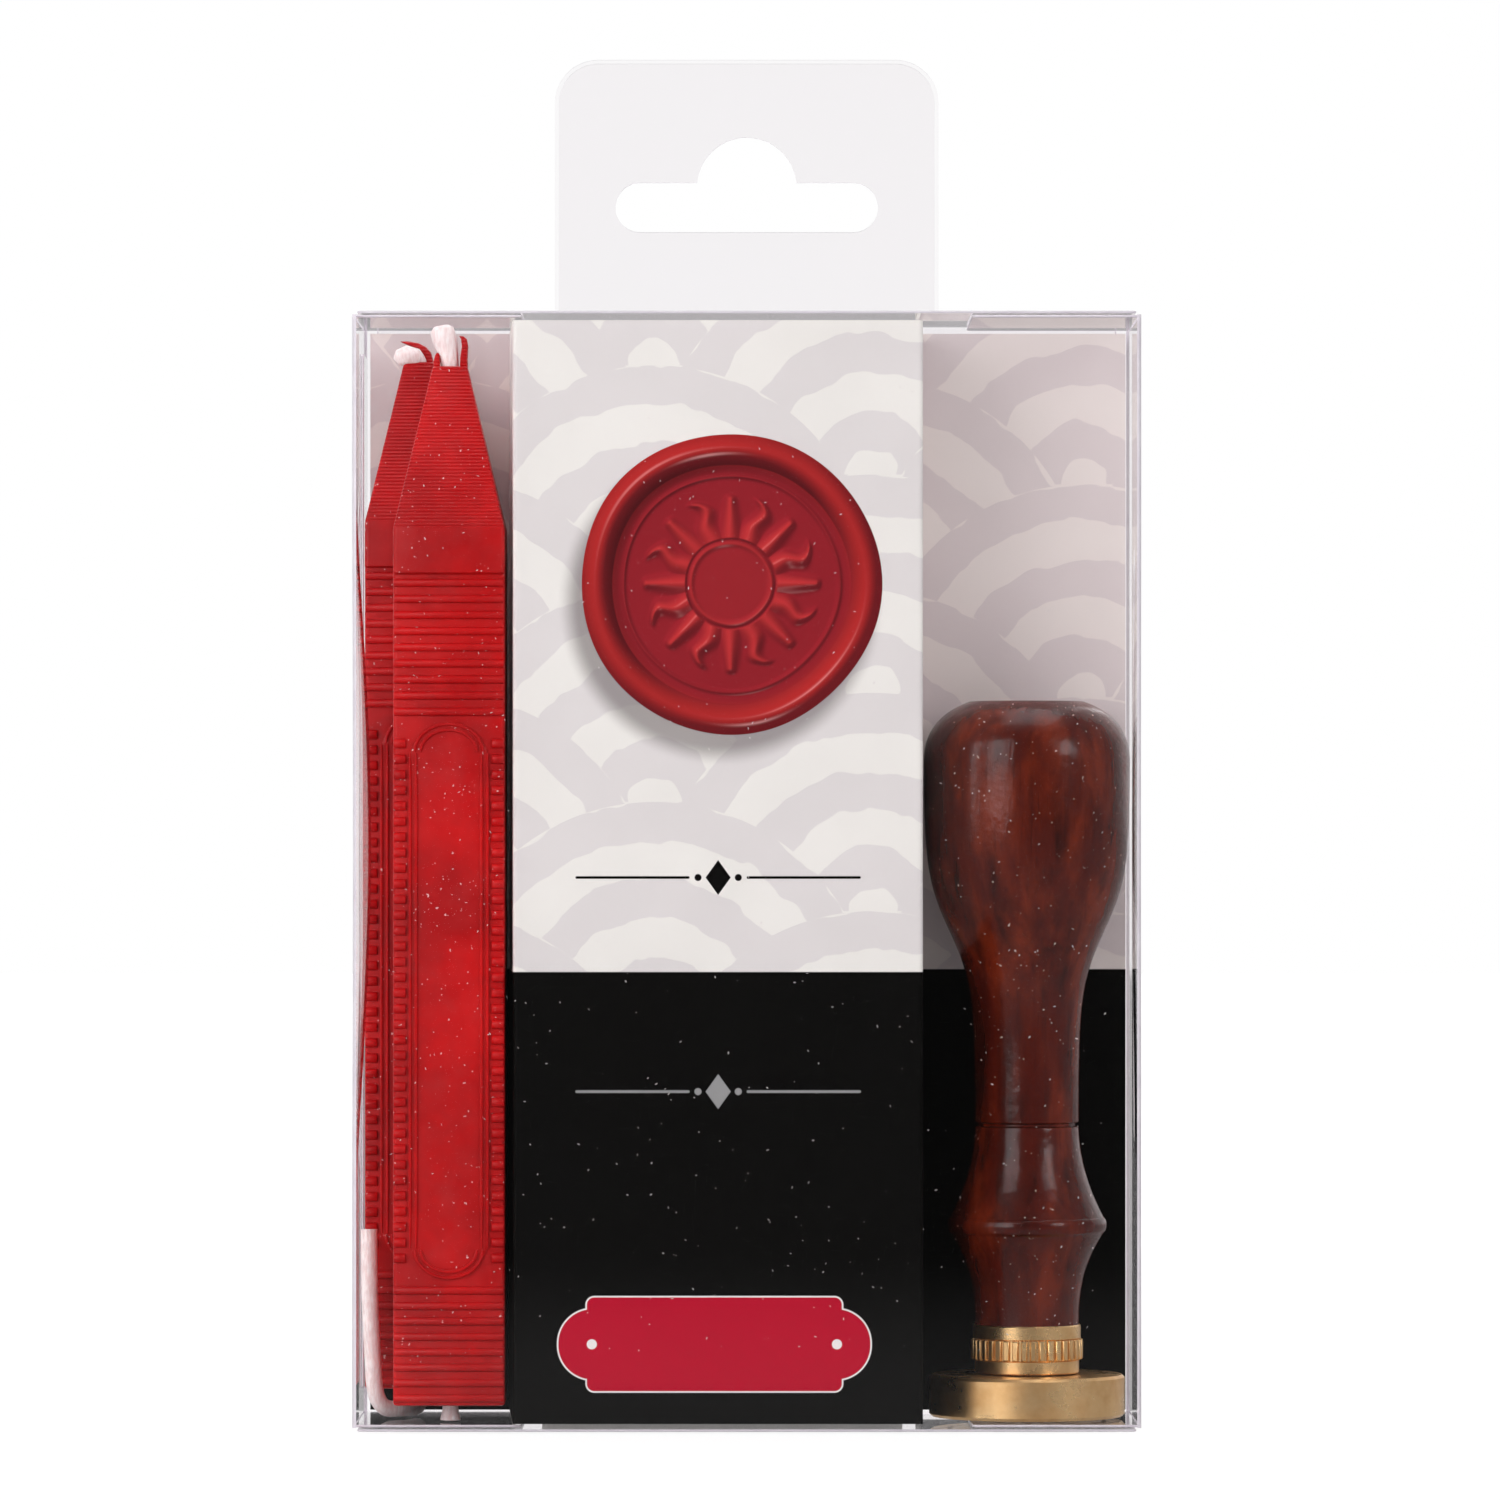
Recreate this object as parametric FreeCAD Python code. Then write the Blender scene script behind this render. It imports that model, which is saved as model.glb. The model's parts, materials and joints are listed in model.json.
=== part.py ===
import FreeCAD, Part
import math
import os

os.makedirs("parts", exist_ok=True)

V = FreeCAD.Vector

# Clear box
BOX_W = 94.0
BOX_D = 29.5
BOX_H = 133.5
FILM = 0.3
CREASE_GAP = 0.15
LID_SIDE_GAP = 0.3
TUCK_BACK_GAP = 1.45
TUCK_LENGTH = 6.5
TUCK_SIDE_INSET = 1.2
TUCK_CORNER_R = 3.0
DUST_LENGTH = 20.0
DUST_SLOPE = 0.55
DUST_FRONT_GAP = 1.2
DUST_REAR_GAP = 0.4
DUST_CORNER_R = 3.0
GLUE_WIDTH = 10.0
GLUE_INSET = 4.0

# Hang tab
TAB_W = 47.0
TAB_RISE = 32.6
TAB_CORNER_R = 5.3
DOUBLER_INSET = 0.5
SLOT_W = 32.2
SLOT_H = 6.1
SLOT_RISE = 14.5
HUMP_R = 6.1
HUMP_RISE = 8.6

# Printed card
CARD = 0.4
CARD_GAP = 0.3
WEB_FLARE = 1.15
CARD_TOP_GAP = 0.35
CARD_FOOT_GAP = 0.15
WING_SIDE_GAP = 0.4

# Booklet
COVER = 0.25
PAGES = 0.9
PAGE_GAP = 0.05
BOOK_LEFT_GAP = 2.85
BOOK_RIGHT_GAP = 2.0
BOOK_H = 105.0
BOOK_FOOT_GAP = 0.3
BOOK_WING_GAP = 0.1
PAGE_TRIM = 0.6
WIRE = 0.4
STAPLE_SPAN = 10.0
STAPLE_LEG = 2.2
STAPLE_INSET = 28.0
WIRE_CLEARANCE = 0.03

# Wax sticks
STICK_W = 13.3
STICK_TAPER = 19.4
STICK_TIP_W = 4.2
STICK_EDGE = 0.5
FRONT_STICK_SIDE = 4.55
FRONT_STICK_Z = 3.0
REAR_STICK_SIDE = 0.6
REAR_STICK_STEP = 1.25
STICK_FRONT_GAP = 0.35
STICK_BETWEEN = 0.3
STICK_REAR_GAP = 0.8
STICK_CARD_GAP = 1.0
STICK_HEAD_GAP = 1.85
RIB_PITCH = 1.83
RIB_GROOVE = 0.55
RIB_DEPTH = 0.4
LOW_RIBS_TOP = 14.7
PLAIN_BAND = 5.5
HIGH_RIBS_H = 17.3
PLATE_SIDE = 1.95
PLATE_FOOT_GAP = 0.5
PLATE_TOP_GAP = 0.4
PLATE_LINE = 0.55
EDGE_RIB = 1.5
HORN_WICK_GAP = 0.1
HORN_LEAN = 0.15
HORN_TIP_W = 0.35
HORN_DEPTH = 2.2
HORN_TALL = 3.9
HORN_SHORT = 1.9

# Wicks
WICK_R = 1.0
WICK_CLEARANCE = 0.05
WICK_FLOOR_GAP = 0.2
WICK_TOP_GAP = 0.45
WICK_LEAN = 0.7
REAR_WICK_RISE = 3.4
REAR_WICK_LEAN = 0.9
TAIL_START = 2.35
TAIL_END_Z = 23.7

# Seal stamp
STAMP_FLOOR_GAP = 0.3
DISC_STEP = 0.65
DISC_H = 5.05
DISC_EDGE = 0.35
HEAD_GAP = 0.15
LOWER_RING_R = 6.3
LOWER_RING_H = 1.65
KNURL_R = 6.75
KNURL_H = 2.5
KNURL_DEPTH = 0.35
KNURL_COUNT = 38
UPPER_RING_R = 6.5
UPPER_RING_H = 1.7
RING_EDGE = 0.15
STUD_R = 3.0
STUD_LENGTH = 12.8
STUD_FLOOR = 1.55
STUD_CLEARANCE = 0.15
STUD_EDGE = 0.5
TENON_R = 4.7
TENON_L = 3.5
TENON_CLEARANCE = 0.05
HANDLE_H = 75.1
BEAD_R = 9.6
BEAD_RISE = 12.0
BEAD_BAND = 1.0
BASE_SHARPNESS = 2.4
WAIST_SHARPNESS = 1.85
NECK_R = 6.25
GROOVE_RISE = 24.1
GROOVE_DEPTH = 0.45
GROOVE_W = 0.7
KNOB_FRONT_GAP = 0.8
KNOB_REAR_GAP = 0.75
KNOB_WALL_GAP = 0.45
KNOB_CARD_GAP = 0.35
KNOB_TOP_R = 6.9
KNOB_FLARE_RISE = 47.4
KNOB_FLARE_SPAN = 3.4
KNOB_CROWN = 7.4
KNOB_ROUNDNESS = 2.4
CURVE_STEPS = 7
ENGRAVE_DEPTH = 0.6
SUN_RAYS = 16
SUN_FACE_R = 3.1
SUN_LINE = 0.5
RAY_FOOT_R = 4.2
RAY_RIM_GAP = 0.9
RAY_FOOT_HALF = 0.62
RIM_INSET = 2.2

# Levels and planes shared by the fits
HALF_W = BOX_W / 2
HALF_D = BOX_D / 2
IN_W = HALF_W - FILM
IN_D = HALF_D - FILM
CREASE_R = FILM / 2
LID_AXIS_Y = -HALF_D + CREASE_R
LID_HALF = IN_W - LID_SIDE_GAP
TUCK_REAR = IN_D - TUCK_BACK_GAP
TUCK_AXIS_Y = TUCK_REAR - CREASE_R
FLAP_AXIS_X = HALF_W - CREASE_R
FLAP_TOP = 2 * FILM + CREASE_GAP
PANEL_END = FILM + CREASE_GAP
SIDE_END = 2 * PANEL_END
CARD_FOOT = FLAP_TOP + CARD_FOOT_GAP
CARD_HEAD = BOX_H - FLAP_TOP - CARD_TOP_GAP
CARD_FRONT_Y = -IN_D + CARD_GAP
CARD_INNER_Y = CARD_FRONT_Y + CARD
WING_REAR_Y = TUCK_REAR - FILM - CARD_GAP
WING_FRONT_Y = WING_REAR_Y - CARD
CEILING = BOX_H - FLAP_TOP
TAB_TOP = BOX_H + TAB_RISE
SLOT_Z = BOX_H + SLOT_RISE
HUMP_TOP = SLOT_Z + HUMP_RISE
CONTENT_D = WING_FRONT_Y + IN_D
STICK_D = (CONTENT_D - STICK_FRONT_GAP - STICK_BETWEEN - STICK_REAR_GAP) / 2
FRONT_STICK_X = -IN_W + FRONT_STICK_SIDE + STICK_W / 2
REAR_STICK_X = -IN_W + REAR_STICK_SIDE + STICK_W / 2
FRONT_STICK_Y = -IN_D + STICK_FRONT_GAP + STICK_D / 2
REAR_STICK_Y = FRONT_STICK_Y + STICK_D + STICK_BETWEEN
REAR_STICK_Z = FRONT_STICK_Z + REAR_STICK_STEP
STICK_TOP = CEILING - STICK_HEAD_GAP - HORN_TALL - FRONT_STICK_Z
STICK_SHOULDER = STICK_TOP - STICK_TAPER
HIGH_RIBS_TOP = STICK_SHOULDER - PLAIN_BAND
HIGH_RIBS_FOOT = HIGH_RIBS_TOP - HIGH_RIBS_H
PLATE_W = STICK_W - 2 * PLATE_SIDE
PLATE_FOOT = LOW_RIBS_TOP + PLATE_FOOT_GAP
PLATE_TOP = HIGH_RIBS_FOOT - PLATE_TOP_GAP
HORN_FOOT_IN = WICK_R + WICK_CLEARANCE + HORN_WICK_GAP
HORN_TIP_IN = HORN_FOOT_IN + HORN_LEAN
HORN_TIP_OUT = HORN_TIP_IN + HORN_TIP_W
WICK_FLOOR = FLAP_TOP + WICK_FLOOR_GAP
KNOB_R = (CONTENT_D - KNOB_FRONT_GAP - KNOB_REAR_GAP) / 2
KNOB_WIDE_RISE = HANDLE_H - KNOB_CROWN
STAMP_X = IN_W - KNOB_WALL_GAP - KNOB_R
STAMP_Y = -IN_D + KNOB_FRONT_GAP + KNOB_R
CARD_LEFT = FRONT_STICK_X + STICK_W / 2 + STICK_CARD_GAP
CARD_RIGHT = STAMP_X - KNOB_R - KNOB_CARD_GAP
BOOK_LEFT = CARD_LEFT + BOOK_LEFT_GAP
BOOK_RIGHT = CARD_RIGHT - BOOK_RIGHT_GAP
DISC_R = KNOB_R - DISC_STEP
STUD_GRIP = DISC_H - STUD_FLOOR
RIM_LINE_R = DISC_R - RIM_INSET
RAY_TIP_R = RIM_LINE_R - SUN_LINE - RAY_RIM_GAP
DISC_Z = FLAP_TOP + STAMP_FLOOR_GAP
DISC_TOP = DISC_Z + DISC_H
FERRULE_Z = DISC_TOP + HEAD_GAP
KNURL_Z = FERRULE_Z + LOWER_RING_H
UPPER_RING_Z = KNURL_Z + KNURL_H
WOOD_Z = UPPER_RING_Z + UPPER_RING_H


def block(x0, x1, y0, y1, z0, z1):
    return Part.makeBox(x1 - x0, y1 - y0, z1 - z0, V(x0, y0, z0))


def prism(points, direction):
    ring = [V(*p) for p in points]
    return Part.Face(Part.makePolygon(ring + ring[:1])).extrude(direction)


def rounded(solid, radius, test):
    edges = [e for e in solid.Edges if test(e.BoundBox)]
    return solid.makeFillet(radius, edges)


def mirrored_x(shape):
    return shape.mirror(V(0, 0, 0), V(1, 0, 0))


def flipped_z(shape):
    return shape.mirror(V(0, 0, BOX_H / 2), V(0, 0, 1))


def save(name, shape):
    if not shape.isValid() or shape.Volume <= 0:
        raise ValueError(name)
    shape.exportStep("parts/" + name + ".step")


# Clear box
def front_panel():
    return block(-HALF_W, HALF_W, -HALF_D, -IN_D, PANEL_END, BOX_H - PANEL_END)


def right_panel():
    return block(IN_W, HALF_W, -IN_D, IN_D, SIDE_END, BOX_H - SIDE_END)


def back_panel():
    return block(-HALF_W, HALF_W, IN_D, HALF_D, 0, BOX_H)


def glue_flap():
    return block(-IN_W, -IN_W + FILM, IN_D - GLUE_WIDTH, IN_D, GLUE_INSET, BOX_H - GLUE_INSET)


def top_lid():
    z0 = BOX_H - FILM
    plate = block(-LID_HALF, LID_HALF, LID_AXIS_Y, TUCK_REAR - PANEL_END, z0, BOX_H)
    nose = Part.makeCylinder(CREASE_R, 2 * LID_HALF, V(-LID_HALF, LID_AXIS_Y, z0 + CREASE_R), V(1, 0, 0))
    return plate.fuse(nose).removeSplitter()


def top_tuck_flap():
    half = LID_HALF - TUCK_SIDE_INSET
    axis_z = BOX_H - CREASE_R
    foot = axis_z - TUCK_LENGTH
    plate = block(-half, half, TUCK_REAR - FILM, TUCK_REAR, foot, axis_z)
    def low_corner(b):
        return b.YLength > FILM / 2 and b.XLength < FILM and b.ZMax < foot + FILM

    plate = rounded(plate, TUCK_CORNER_R, low_corner)
    nose = Part.makeCylinder(CREASE_R, 2 * half, V(-half, TUCK_AXIS_Y, axis_z), V(1, 0, 0))
    return plate.fuse(nose).removeSplitter()


def top_dust_flap_right():
    z0 = BOX_H - FLAP_TOP
    root = FLAP_AXIS_X
    tip = root - DUST_LENGTH
    rear = TUCK_REAR - FILM - DUST_REAR_GAP
    near = LID_AXIS_Y + DUST_FRONT_GAP
    far = near + DUST_SLOPE * DUST_LENGTH
    outline = [(root, near, z0), (root, rear, z0), (tip, rear, z0), (tip, far, z0)]
    plate = prism(outline, V(0, 0, FILM))
    plate = rounded(plate, DUST_CORNER_R, lambda b: b.ZLength > FILM / 2 and b.XMax < tip + FILM)
    nose = Part.makeCylinder(CREASE_R, rear - near, V(root, near, z0 + CREASE_R), V(0, 1, 0))
    return plate.fuse(nose).removeSplitter()


# Hang tab
def hook_slot(y0, depth):
    half = (SLOT_W - SLOT_H) / 2
    foot = SLOT_Z - SLOT_H / 2
    slot = block(-half, half, y0, y0 + depth, foot, foot + SLOT_H)
    for x in (-half, half):
        slot = slot.fuse(Part.makeCylinder(SLOT_H / 2, depth, V(x, y0, SLOT_Z), V(0, 1, 0)))
    hump = Part.makeCylinder(HUMP_R, depth, V(0, y0, HUMP_TOP - HUMP_R), V(0, 1, 0))
    hump = hump.common(block(-HUMP_R, HUMP_R, y0, y0 + depth, SLOT_Z, HUMP_TOP))
    return slot.fuse(hump).removeSplitter()


def tab_layer(y0, inset, foot):
    half = TAB_W / 2 - inset
    top = TAB_TOP - inset
    plate = block(-half, half, y0, y0 + FILM, foot, top)
    def high_corner(b):
        return b.YLength > FILM / 2 and b.XLength < FILM and b.ZMin > top - FILM

    plate = rounded(plate, TAB_CORNER_R - inset, high_corner)
    return plate.cut(hook_slot(y0 - FILM, 3 * FILM))


def hang_tab():
    return tab_layer(IN_D, 0, BOX_H)


def tab_doubler():
    return tab_layer(IN_D - FILM, DOUBLER_INSET, BOX_H + DOUBLER_INSET)


# Printed card
def card_front():
    return block(CARD_LEFT, CARD_RIGHT, CARD_FRONT_Y, CARD_INNER_Y, CARD_FOOT, CARD_HEAD)


def card_web(front_x, rear_x, thick):
    ring = [
        (front_x, CARD_INNER_Y, CARD_FOOT),
        (front_x + thick, CARD_INNER_Y, CARD_FOOT),
        (rear_x + thick, WING_FRONT_Y, CARD_FOOT),
        (rear_x, WING_FRONT_Y, CARD_FOOT),
    ]
    return prism(ring, V(0, 0, CARD_HEAD - CARD_FOOT))


def card_wing(x0, x1):
    return block(x0, x1, WING_FRONT_Y, WING_REAR_Y, CARD_FOOT, CARD_HEAD)


# Booklet
def staple(z, grow):
    half = WIRE / 2 + grow
    x0 = BOOK_LEFT - WIRE - grow
    y = booklet_mid_y()
    crown = block(x0, BOOK_LEFT + grow, y - half, y + half, z - grow, z + STAPLE_SPAN + grow)
    for leg_z in (z, z + STAPLE_SPAN - WIRE):
        leg = block(x0, BOOK_LEFT + STAPLE_LEG + grow, y - half, y + half, leg_z - grow, leg_z + WIRE + grow)
        crown = crown.fuse(leg)
    return crown.removeSplitter()


def booklet_mid_y():
    return WING_FRONT_Y - BOOK_WING_GAP - COVER - PAGE_GAP - PAGES / 2


def booklet_pieces():
    foot = FILM + BOOK_FOOT_GAP
    head = foot + BOOK_H
    rear = WING_FRONT_Y - BOOK_WING_GAP
    front = rear - 2 * COVER - 2 * PAGE_GAP - PAGES
    right = BOOK_RIGHT
    spine = BOOK_LEFT + COVER
    cover = block(BOOK_LEFT, right, front, rear, foot, head)
    cover = cover.cut(block(spine, right + 1, front + COVER, rear - COVER, foot - 1, head + 1))
    first, last = front + COVER + PAGE_GAP, rear - COVER - PAGE_GAP
    pages = block(spine + PAGE_GAP, right - PAGE_TRIM, first, last, foot, head)
    levels = (foot + STAPLE_INSET, head - STAPLE_INSET - STAPLE_SPAN)
    for z in levels:
        cover = cover.cut(staple(z, WIRE_CLEARANCE))
        pages = pages.cut(staple(z, WIRE_CLEARANCE))
    return cover, pages, Part.makeCompound([staple(z, 0) for z in levels])


# Wax sticks
def rect_wire(w, d, z):
    pts = [V(-w / 2, -d / 2, z), V(w / 2, -d / 2, z), V(w / 2, d / 2, z), V(-w / 2, d / 2, z)]
    return Part.makePolygon(pts + pts[:1])


def horn(side, height):
    ring = [
        (side * HORN_FOOT_IN, -HORN_DEPTH / 2, STICK_TOP),
        (side * STICK_TIP_W / 2, -HORN_DEPTH / 2, STICK_TOP),
        (side * HORN_TIP_OUT, -HORN_DEPTH / 2, STICK_TOP + height),
        (side * HORN_TIP_IN, -HORN_DEPTH / 2, STICK_TOP + height),
    ]
    return prism(ring, V(0, HORN_DEPTH, 0))


def pill(width, z0, z1, y0, depth):
    r = width / 2
    shape = block(-r, r, y0, y0 + depth, z0 + r, z1 - r)
    for z in (z0 + r, z1 - r):
        shape = shape.fuse(Part.makeCylinder(r, depth, V(0, y0, z), V(0, 1, 0)))
    return shape.removeSplitter()


def rib_levels(foot, top):
    count = int((top - foot) / RIB_PITCH)
    return [foot + (i + 0.5) * (top - foot) / count for i in range(count)]


def face_grooves(y0):
    half = STICK_W / 2
    cuts = []
    for foot, top in ((0, LOW_RIBS_TOP), (HIGH_RIBS_FOOT, HIGH_RIBS_TOP)):
        for z in rib_levels(foot, top):
            cuts.append(block(-half, half, y0, y0 + RIB_DEPTH, z - RIB_GROOVE / 2, z + RIB_GROOVE / 2))
    for z in rib_levels(PLATE_FOOT + EDGE_RIB, PLATE_TOP - EDGE_RIB):
        for x in (-half, half - EDGE_RIB):
            cuts.append(block(x, x + EDGE_RIB, y0, y0 + RIB_DEPTH, z - RIB_GROOVE / 2, z + RIB_GROOVE / 2))
    outer = pill(PLATE_W, PLATE_FOOT, PLATE_TOP, y0, RIB_DEPTH)
    inner = pill(PLATE_W - 2 * PLATE_LINE, PLATE_FOOT + PLATE_LINE, PLATE_TOP - PLATE_LINE, y0, RIB_DEPTH)
    cuts.append(outer.cut(inner))
    return cuts


def wax_stick(x, y, z):
    bar = Part.makeBox(STICK_W, STICK_D, STICK_SHOULDER, V(-STICK_W / 2, -STICK_D / 2, 0))
    bar = rounded(bar, STICK_EDGE, lambda b: b.ZLength > STICK_SHOULDER / 2)
    wires = [rect_wire(STICK_W, STICK_D, STICK_SHOULDER), rect_wire(STICK_TIP_W, STICK_TIP_W, STICK_TOP)]
    bar = bar.fuse(Part.makeLoft(wires, True, True))
    bar = bar.fuse(horn(1, HORN_TALL)).fuse(horn(-1, HORN_SHORT))
    grooves = face_grooves(-STICK_D / 2) + face_grooves(STICK_D / 2 - RIB_DEPTH)
    bar = bar.cut(Part.makeCompound(grooves))
    bore = Part.makeCylinder(WICK_R + WICK_CLEARANCE, STICK_TOP + 2, V(0, 0, -1))
    bar = bar.cut(bore).removeSplitter()
    return bar.translated(V(x, y, z))


# Wicks, as straight runs and tangent arcs
def cord_wire(points):
    pts = [V(*p) for p in points]
    edges = []
    radii = []
    start = pts[0]
    for before, here, after in zip(pts, pts[1:], pts[2:]):
        back = (before - here).normalize()
        ahead = (after - here).normalize()
        turn = math.pi - back.getAngle(ahead)
        trim = 0.45 * min((before - here).Length, (after - here).Length)
        radius = trim / math.tan(turn / 2)
        radii.append(round(radius, 2))
        centre = here + (back + ahead).normalize() * (radius / math.cos(turn / 2))
        middle = centre + (here - centre).normalize() * radius
        a = here + back * trim
        b = here + ahead * trim
        edges.append(Part.makeLine(start, a))
        edges.append(Part.Arc(a, middle, b).toShape())
        start = b
    edges.append(Part.makeLine(start, pts[-1]))
    return Part.Wire(edges), radii


def cord(name, points):
    wire, radii = cord_wire(points)
    print(name, "length", round(wire.Length, 2), "radii", radii)
    first = wire.Edges[0]
    start = first.FirstParameter
    profile = Part.Wire(Part.makeCircle(WICK_R, first.valueAt(start), first.tangentAt(start)))
    tube = wire.makePipeShell([profile], True, True)
    print(name, "volume ratio", round(tube.Volume / (math.pi * WICK_R ** 2 * wire.Length), 4))
    return tube


def wick_front():
    x, y = FRONT_STICK_X, FRONT_STICK_Y
    bend = FRONT_STICK_Z + STICK_TOP + WICK_R
    top = CEILING - WICK_TOP_GAP
    return cord("wick_front", [(x, y, WICK_FLOOR), (x, y, bend), (x - WICK_LEAN, y, top)])


def wick_rear():
    x, y = REAR_STICK_X, REAR_STICK_Y
    top = REAR_STICK_Z + STICK_TOP
    start = REAR_STICK_Z + TAIL_START
    bend = top + HORN_SHORT
    return cord("wick_rear", [(x, y, start), (x, y, bend), (x - REAR_WICK_LEAN, y, top + REAR_WICK_RISE)])


def wick_rear_tail():
    x, y = REAR_STICK_X, REAR_STICK_Y
    low = WICK_FLOOR + WICK_R
    wall = -IN_W + WICK_R
    route = [
        (x, y, REAR_STICK_Z + TAIL_START),
        (x, y, low),
        (x - 1.15, y - 5.55, low),
        (wall + 1.1, y - 9.55, low),
        (wall + 0.7, y - 9.95, low + 7.2),
        (wall + 0.35, y - 10.2, low + 14.4),
        (wall + 0.3, y - 9.8, TAIL_END_Z),
    ]
    return cord("wick_rear_tail", route)


# Seal stamp
def at_stamp(shape):
    return shape.translated(V(STAMP_X, STAMP_Y, 0))


def turned(edges):
    face = Part.Face(Part.Wire(Part.__sortEdges__(edges)))
    return face.revolve(V(0, 0, 0), V(0, 0, 1), 360)


def line_rz(points):
    return [Part.makeLine(V(a[0], 0, a[1]), V(b[0], 0, b[1])) for a, b in zip(points, points[1:])]


def curve_rz(points):
    curve = Part.BSplineCurve()
    curve.interpolate([V(r, 0, z) for r, z in points])
    return [curve.toShape()]


def flare(low, high, sharpness):
    pts = []
    for i in range(CURVE_STEPS + 1):
        t = i / CURVE_STEPS
        pts.append((low[0] + (high[0] - low[0]) * t ** sharpness, low[1] + (high[1] - low[1]) * t))
    return pts


def knob_side(foot):
    wide = WOOD_Z + KNOB_WIDE_RISE
    centre = WOOD_Z + KNOB_FLARE_RISE
    pts = [foot]
    for i in range(1, 2 * CURVE_STEPS + 1):
        z = foot[1] + (wide - foot[1]) * i / (2 * CURVE_STEPS)
        share = 1 / (1 + math.exp((centre - z) / KNOB_FLARE_SPAN))
        pts.append((NECK_R + (KNOB_R - NECK_R) * share, z))
    return pts


def knob_crown(foot):
    top = WOOD_Z + HANDLE_H
    edge = (1 - (KNOB_TOP_R / foot[0]) ** KNOB_ROUNDNESS) ** (1 / KNOB_ROUNDNESS)
    height = (top - foot[1]) / edge
    pts = []
    for i in range(CURVE_STEPS + 1):
        rise = (top - foot[1]) * math.sin(math.pi / 2 * i / CURVE_STEPS)
        share = (1 - (rise / height) ** KNOB_ROUNDNESS) ** (1 / KNOB_ROUNDNESS)
        pts.append((foot[0] * share, foot[1] + rise))
    return pts


def stamp_handle():
    foot = (NECK_R, WOOD_Z)
    bead_foot = (BEAD_R, WOOD_Z + BEAD_RISE - BEAD_BAND / 2)
    bead_head = (BEAD_R, WOOD_Z + BEAD_RISE + BEAD_BAND / 2)
    groove_z = WOOD_Z + GROOVE_RISE
    groove_foot = (NECK_R, groove_z - GROOVE_W / 2)
    groove_head = (NECK_R, groove_z + GROOVE_W / 2)
    side = knob_side(groove_head)
    crown = knob_crown(side[-1])
    edges = line_rz([(0, WOOD_Z), foot])
    edges += curve_rz(flare(foot, bead_foot, BASE_SHARPNESS))
    edges += line_rz([bead_foot, bead_head])
    edges += curve_rz(flare(groove_foot, bead_head, WAIST_SHARPNESS))
    edges += line_rz([groove_foot, (NECK_R - GROOVE_DEPTH, groove_z), groove_head])
    edges += curve_rz(side)
    edges += curve_rz(crown)
    edges += line_rz([crown[-1], (0, crown[-1][1]), (0, WOOD_Z)])
    tenon_z = WOOD_Z - TENON_L
    wood = turned(edges).fuse(Part.makeCylinder(TENON_R, TENON_L + 1, V(0, 0, tenon_z)))
    hole_top = stud_top() + STUD_CLEARANCE
    hole = Part.makeCylinder(STUD_R + STUD_CLEARANCE, hole_top - tenon_z + 1, V(0, 0, tenon_z - 1))
    return at_stamp(wood.cut(hole).removeSplitter())


def ring(radius, z, height):
    body = Part.makeCylinder(radius, height, V(0, 0, z))
    return body.makeChamfer(RING_EDGE, [e for e in body.Edges if e.BoundBox.ZLength < RING_EDGE])


def knurled_ring():
    step = 2 * math.pi / KNURL_COUNT
    root = KNURL_R - KNURL_DEPTH
    tooth = ((-0.34, KNURL_R), (0.16, KNURL_R), (0.28, root), (0.54, root))
    pts = []
    for i in range(KNURL_COUNT):
        for part, radius in tooth:
            turn = (i + part) * step
            pts.append((radius * math.cos(turn), radius * math.sin(turn), KNURL_Z))
    return prism(pts, V(0, 0, KNURL_H))


def stamp_ferrule():
    body = ring(LOWER_RING_R, FERRULE_Z, LOWER_RING_H)
    body = body.fuse(knurled_ring())
    body = body.fuse(ring(UPPER_RING_R, UPPER_RING_Z, UPPER_RING_H))
    tenon_z = WOOD_Z - TENON_L
    socket = Part.makeCylinder(TENON_R + TENON_CLEARANCE, TENON_L + 1, V(0, 0, tenon_z - TENON_CLEARANCE))
    hole = Part.makeCylinder(STUD_R + STUD_CLEARANCE, UPPER_RING_Z - FERRULE_Z + 1, V(0, 0, FERRULE_Z - 1))
    return at_stamp(body.cut(socket.fuse(hole)).removeSplitter())


def stud_foot():
    return DISC_TOP - STUD_GRIP


def stud_top():
    return stud_foot() + STUD_LENGTH


def threaded_stud():
    stud = Part.makeCylinder(STUD_R, STUD_LENGTH, V(0, 0, stud_foot()))
    stud = stud.makeChamfer(STUD_EDGE, [e for e in stud.Edges if e.BoundBox.ZLength < STUD_EDGE])
    return at_stamp(stud)


def sun_cuts():
    z = DISC_Z - 1
    rise = V(0, 0, ENGRAVE_DEPTH + 1)
    cuts = []
    for radius in (SUN_FACE_R, RIM_LINE_R):
        line = Part.makeCylinder(radius, rise.z, V(0, 0, z))
        cuts.append(line.cut(Part.makeCylinder(radius - SUN_LINE, rise.z, V(0, 0, z))))
    for i in range(SUN_RAYS):
        reach = RAY_TIP_R if i % 2 == 0 else RAY_TIP_R - 1.0
        foot = RAY_FOOT_HALF if i % 2 == 0 else 0.6 * RAY_FOOT_HALF
        ray = prism([(RAY_FOOT_R, -foot, z), (reach, 0, z), (RAY_FOOT_R, foot, z)], rise)
        ray.rotate(V(0, 0, 0), V(0, 0, 1), i * 360 / SUN_RAYS)
        cuts.append(ray)
    return Part.makeCompound(cuts)


def seal_head():
    disc = Part.makeCylinder(DISC_R, DISC_H, V(0, 0, DISC_Z))
    disc = disc.makeChamfer(DISC_EDGE, [e for e in disc.Edges if e.BoundBox.ZLength < DISC_EDGE])
    hole = Part.makeCylinder(STUD_R + STUD_CLEARANCE, STUD_GRIP + 1, V(0, 0, stud_foot() - STUD_CLEARANCE))
    return at_stamp(disc.cut(hole).cut(sun_cuts()))


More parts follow.
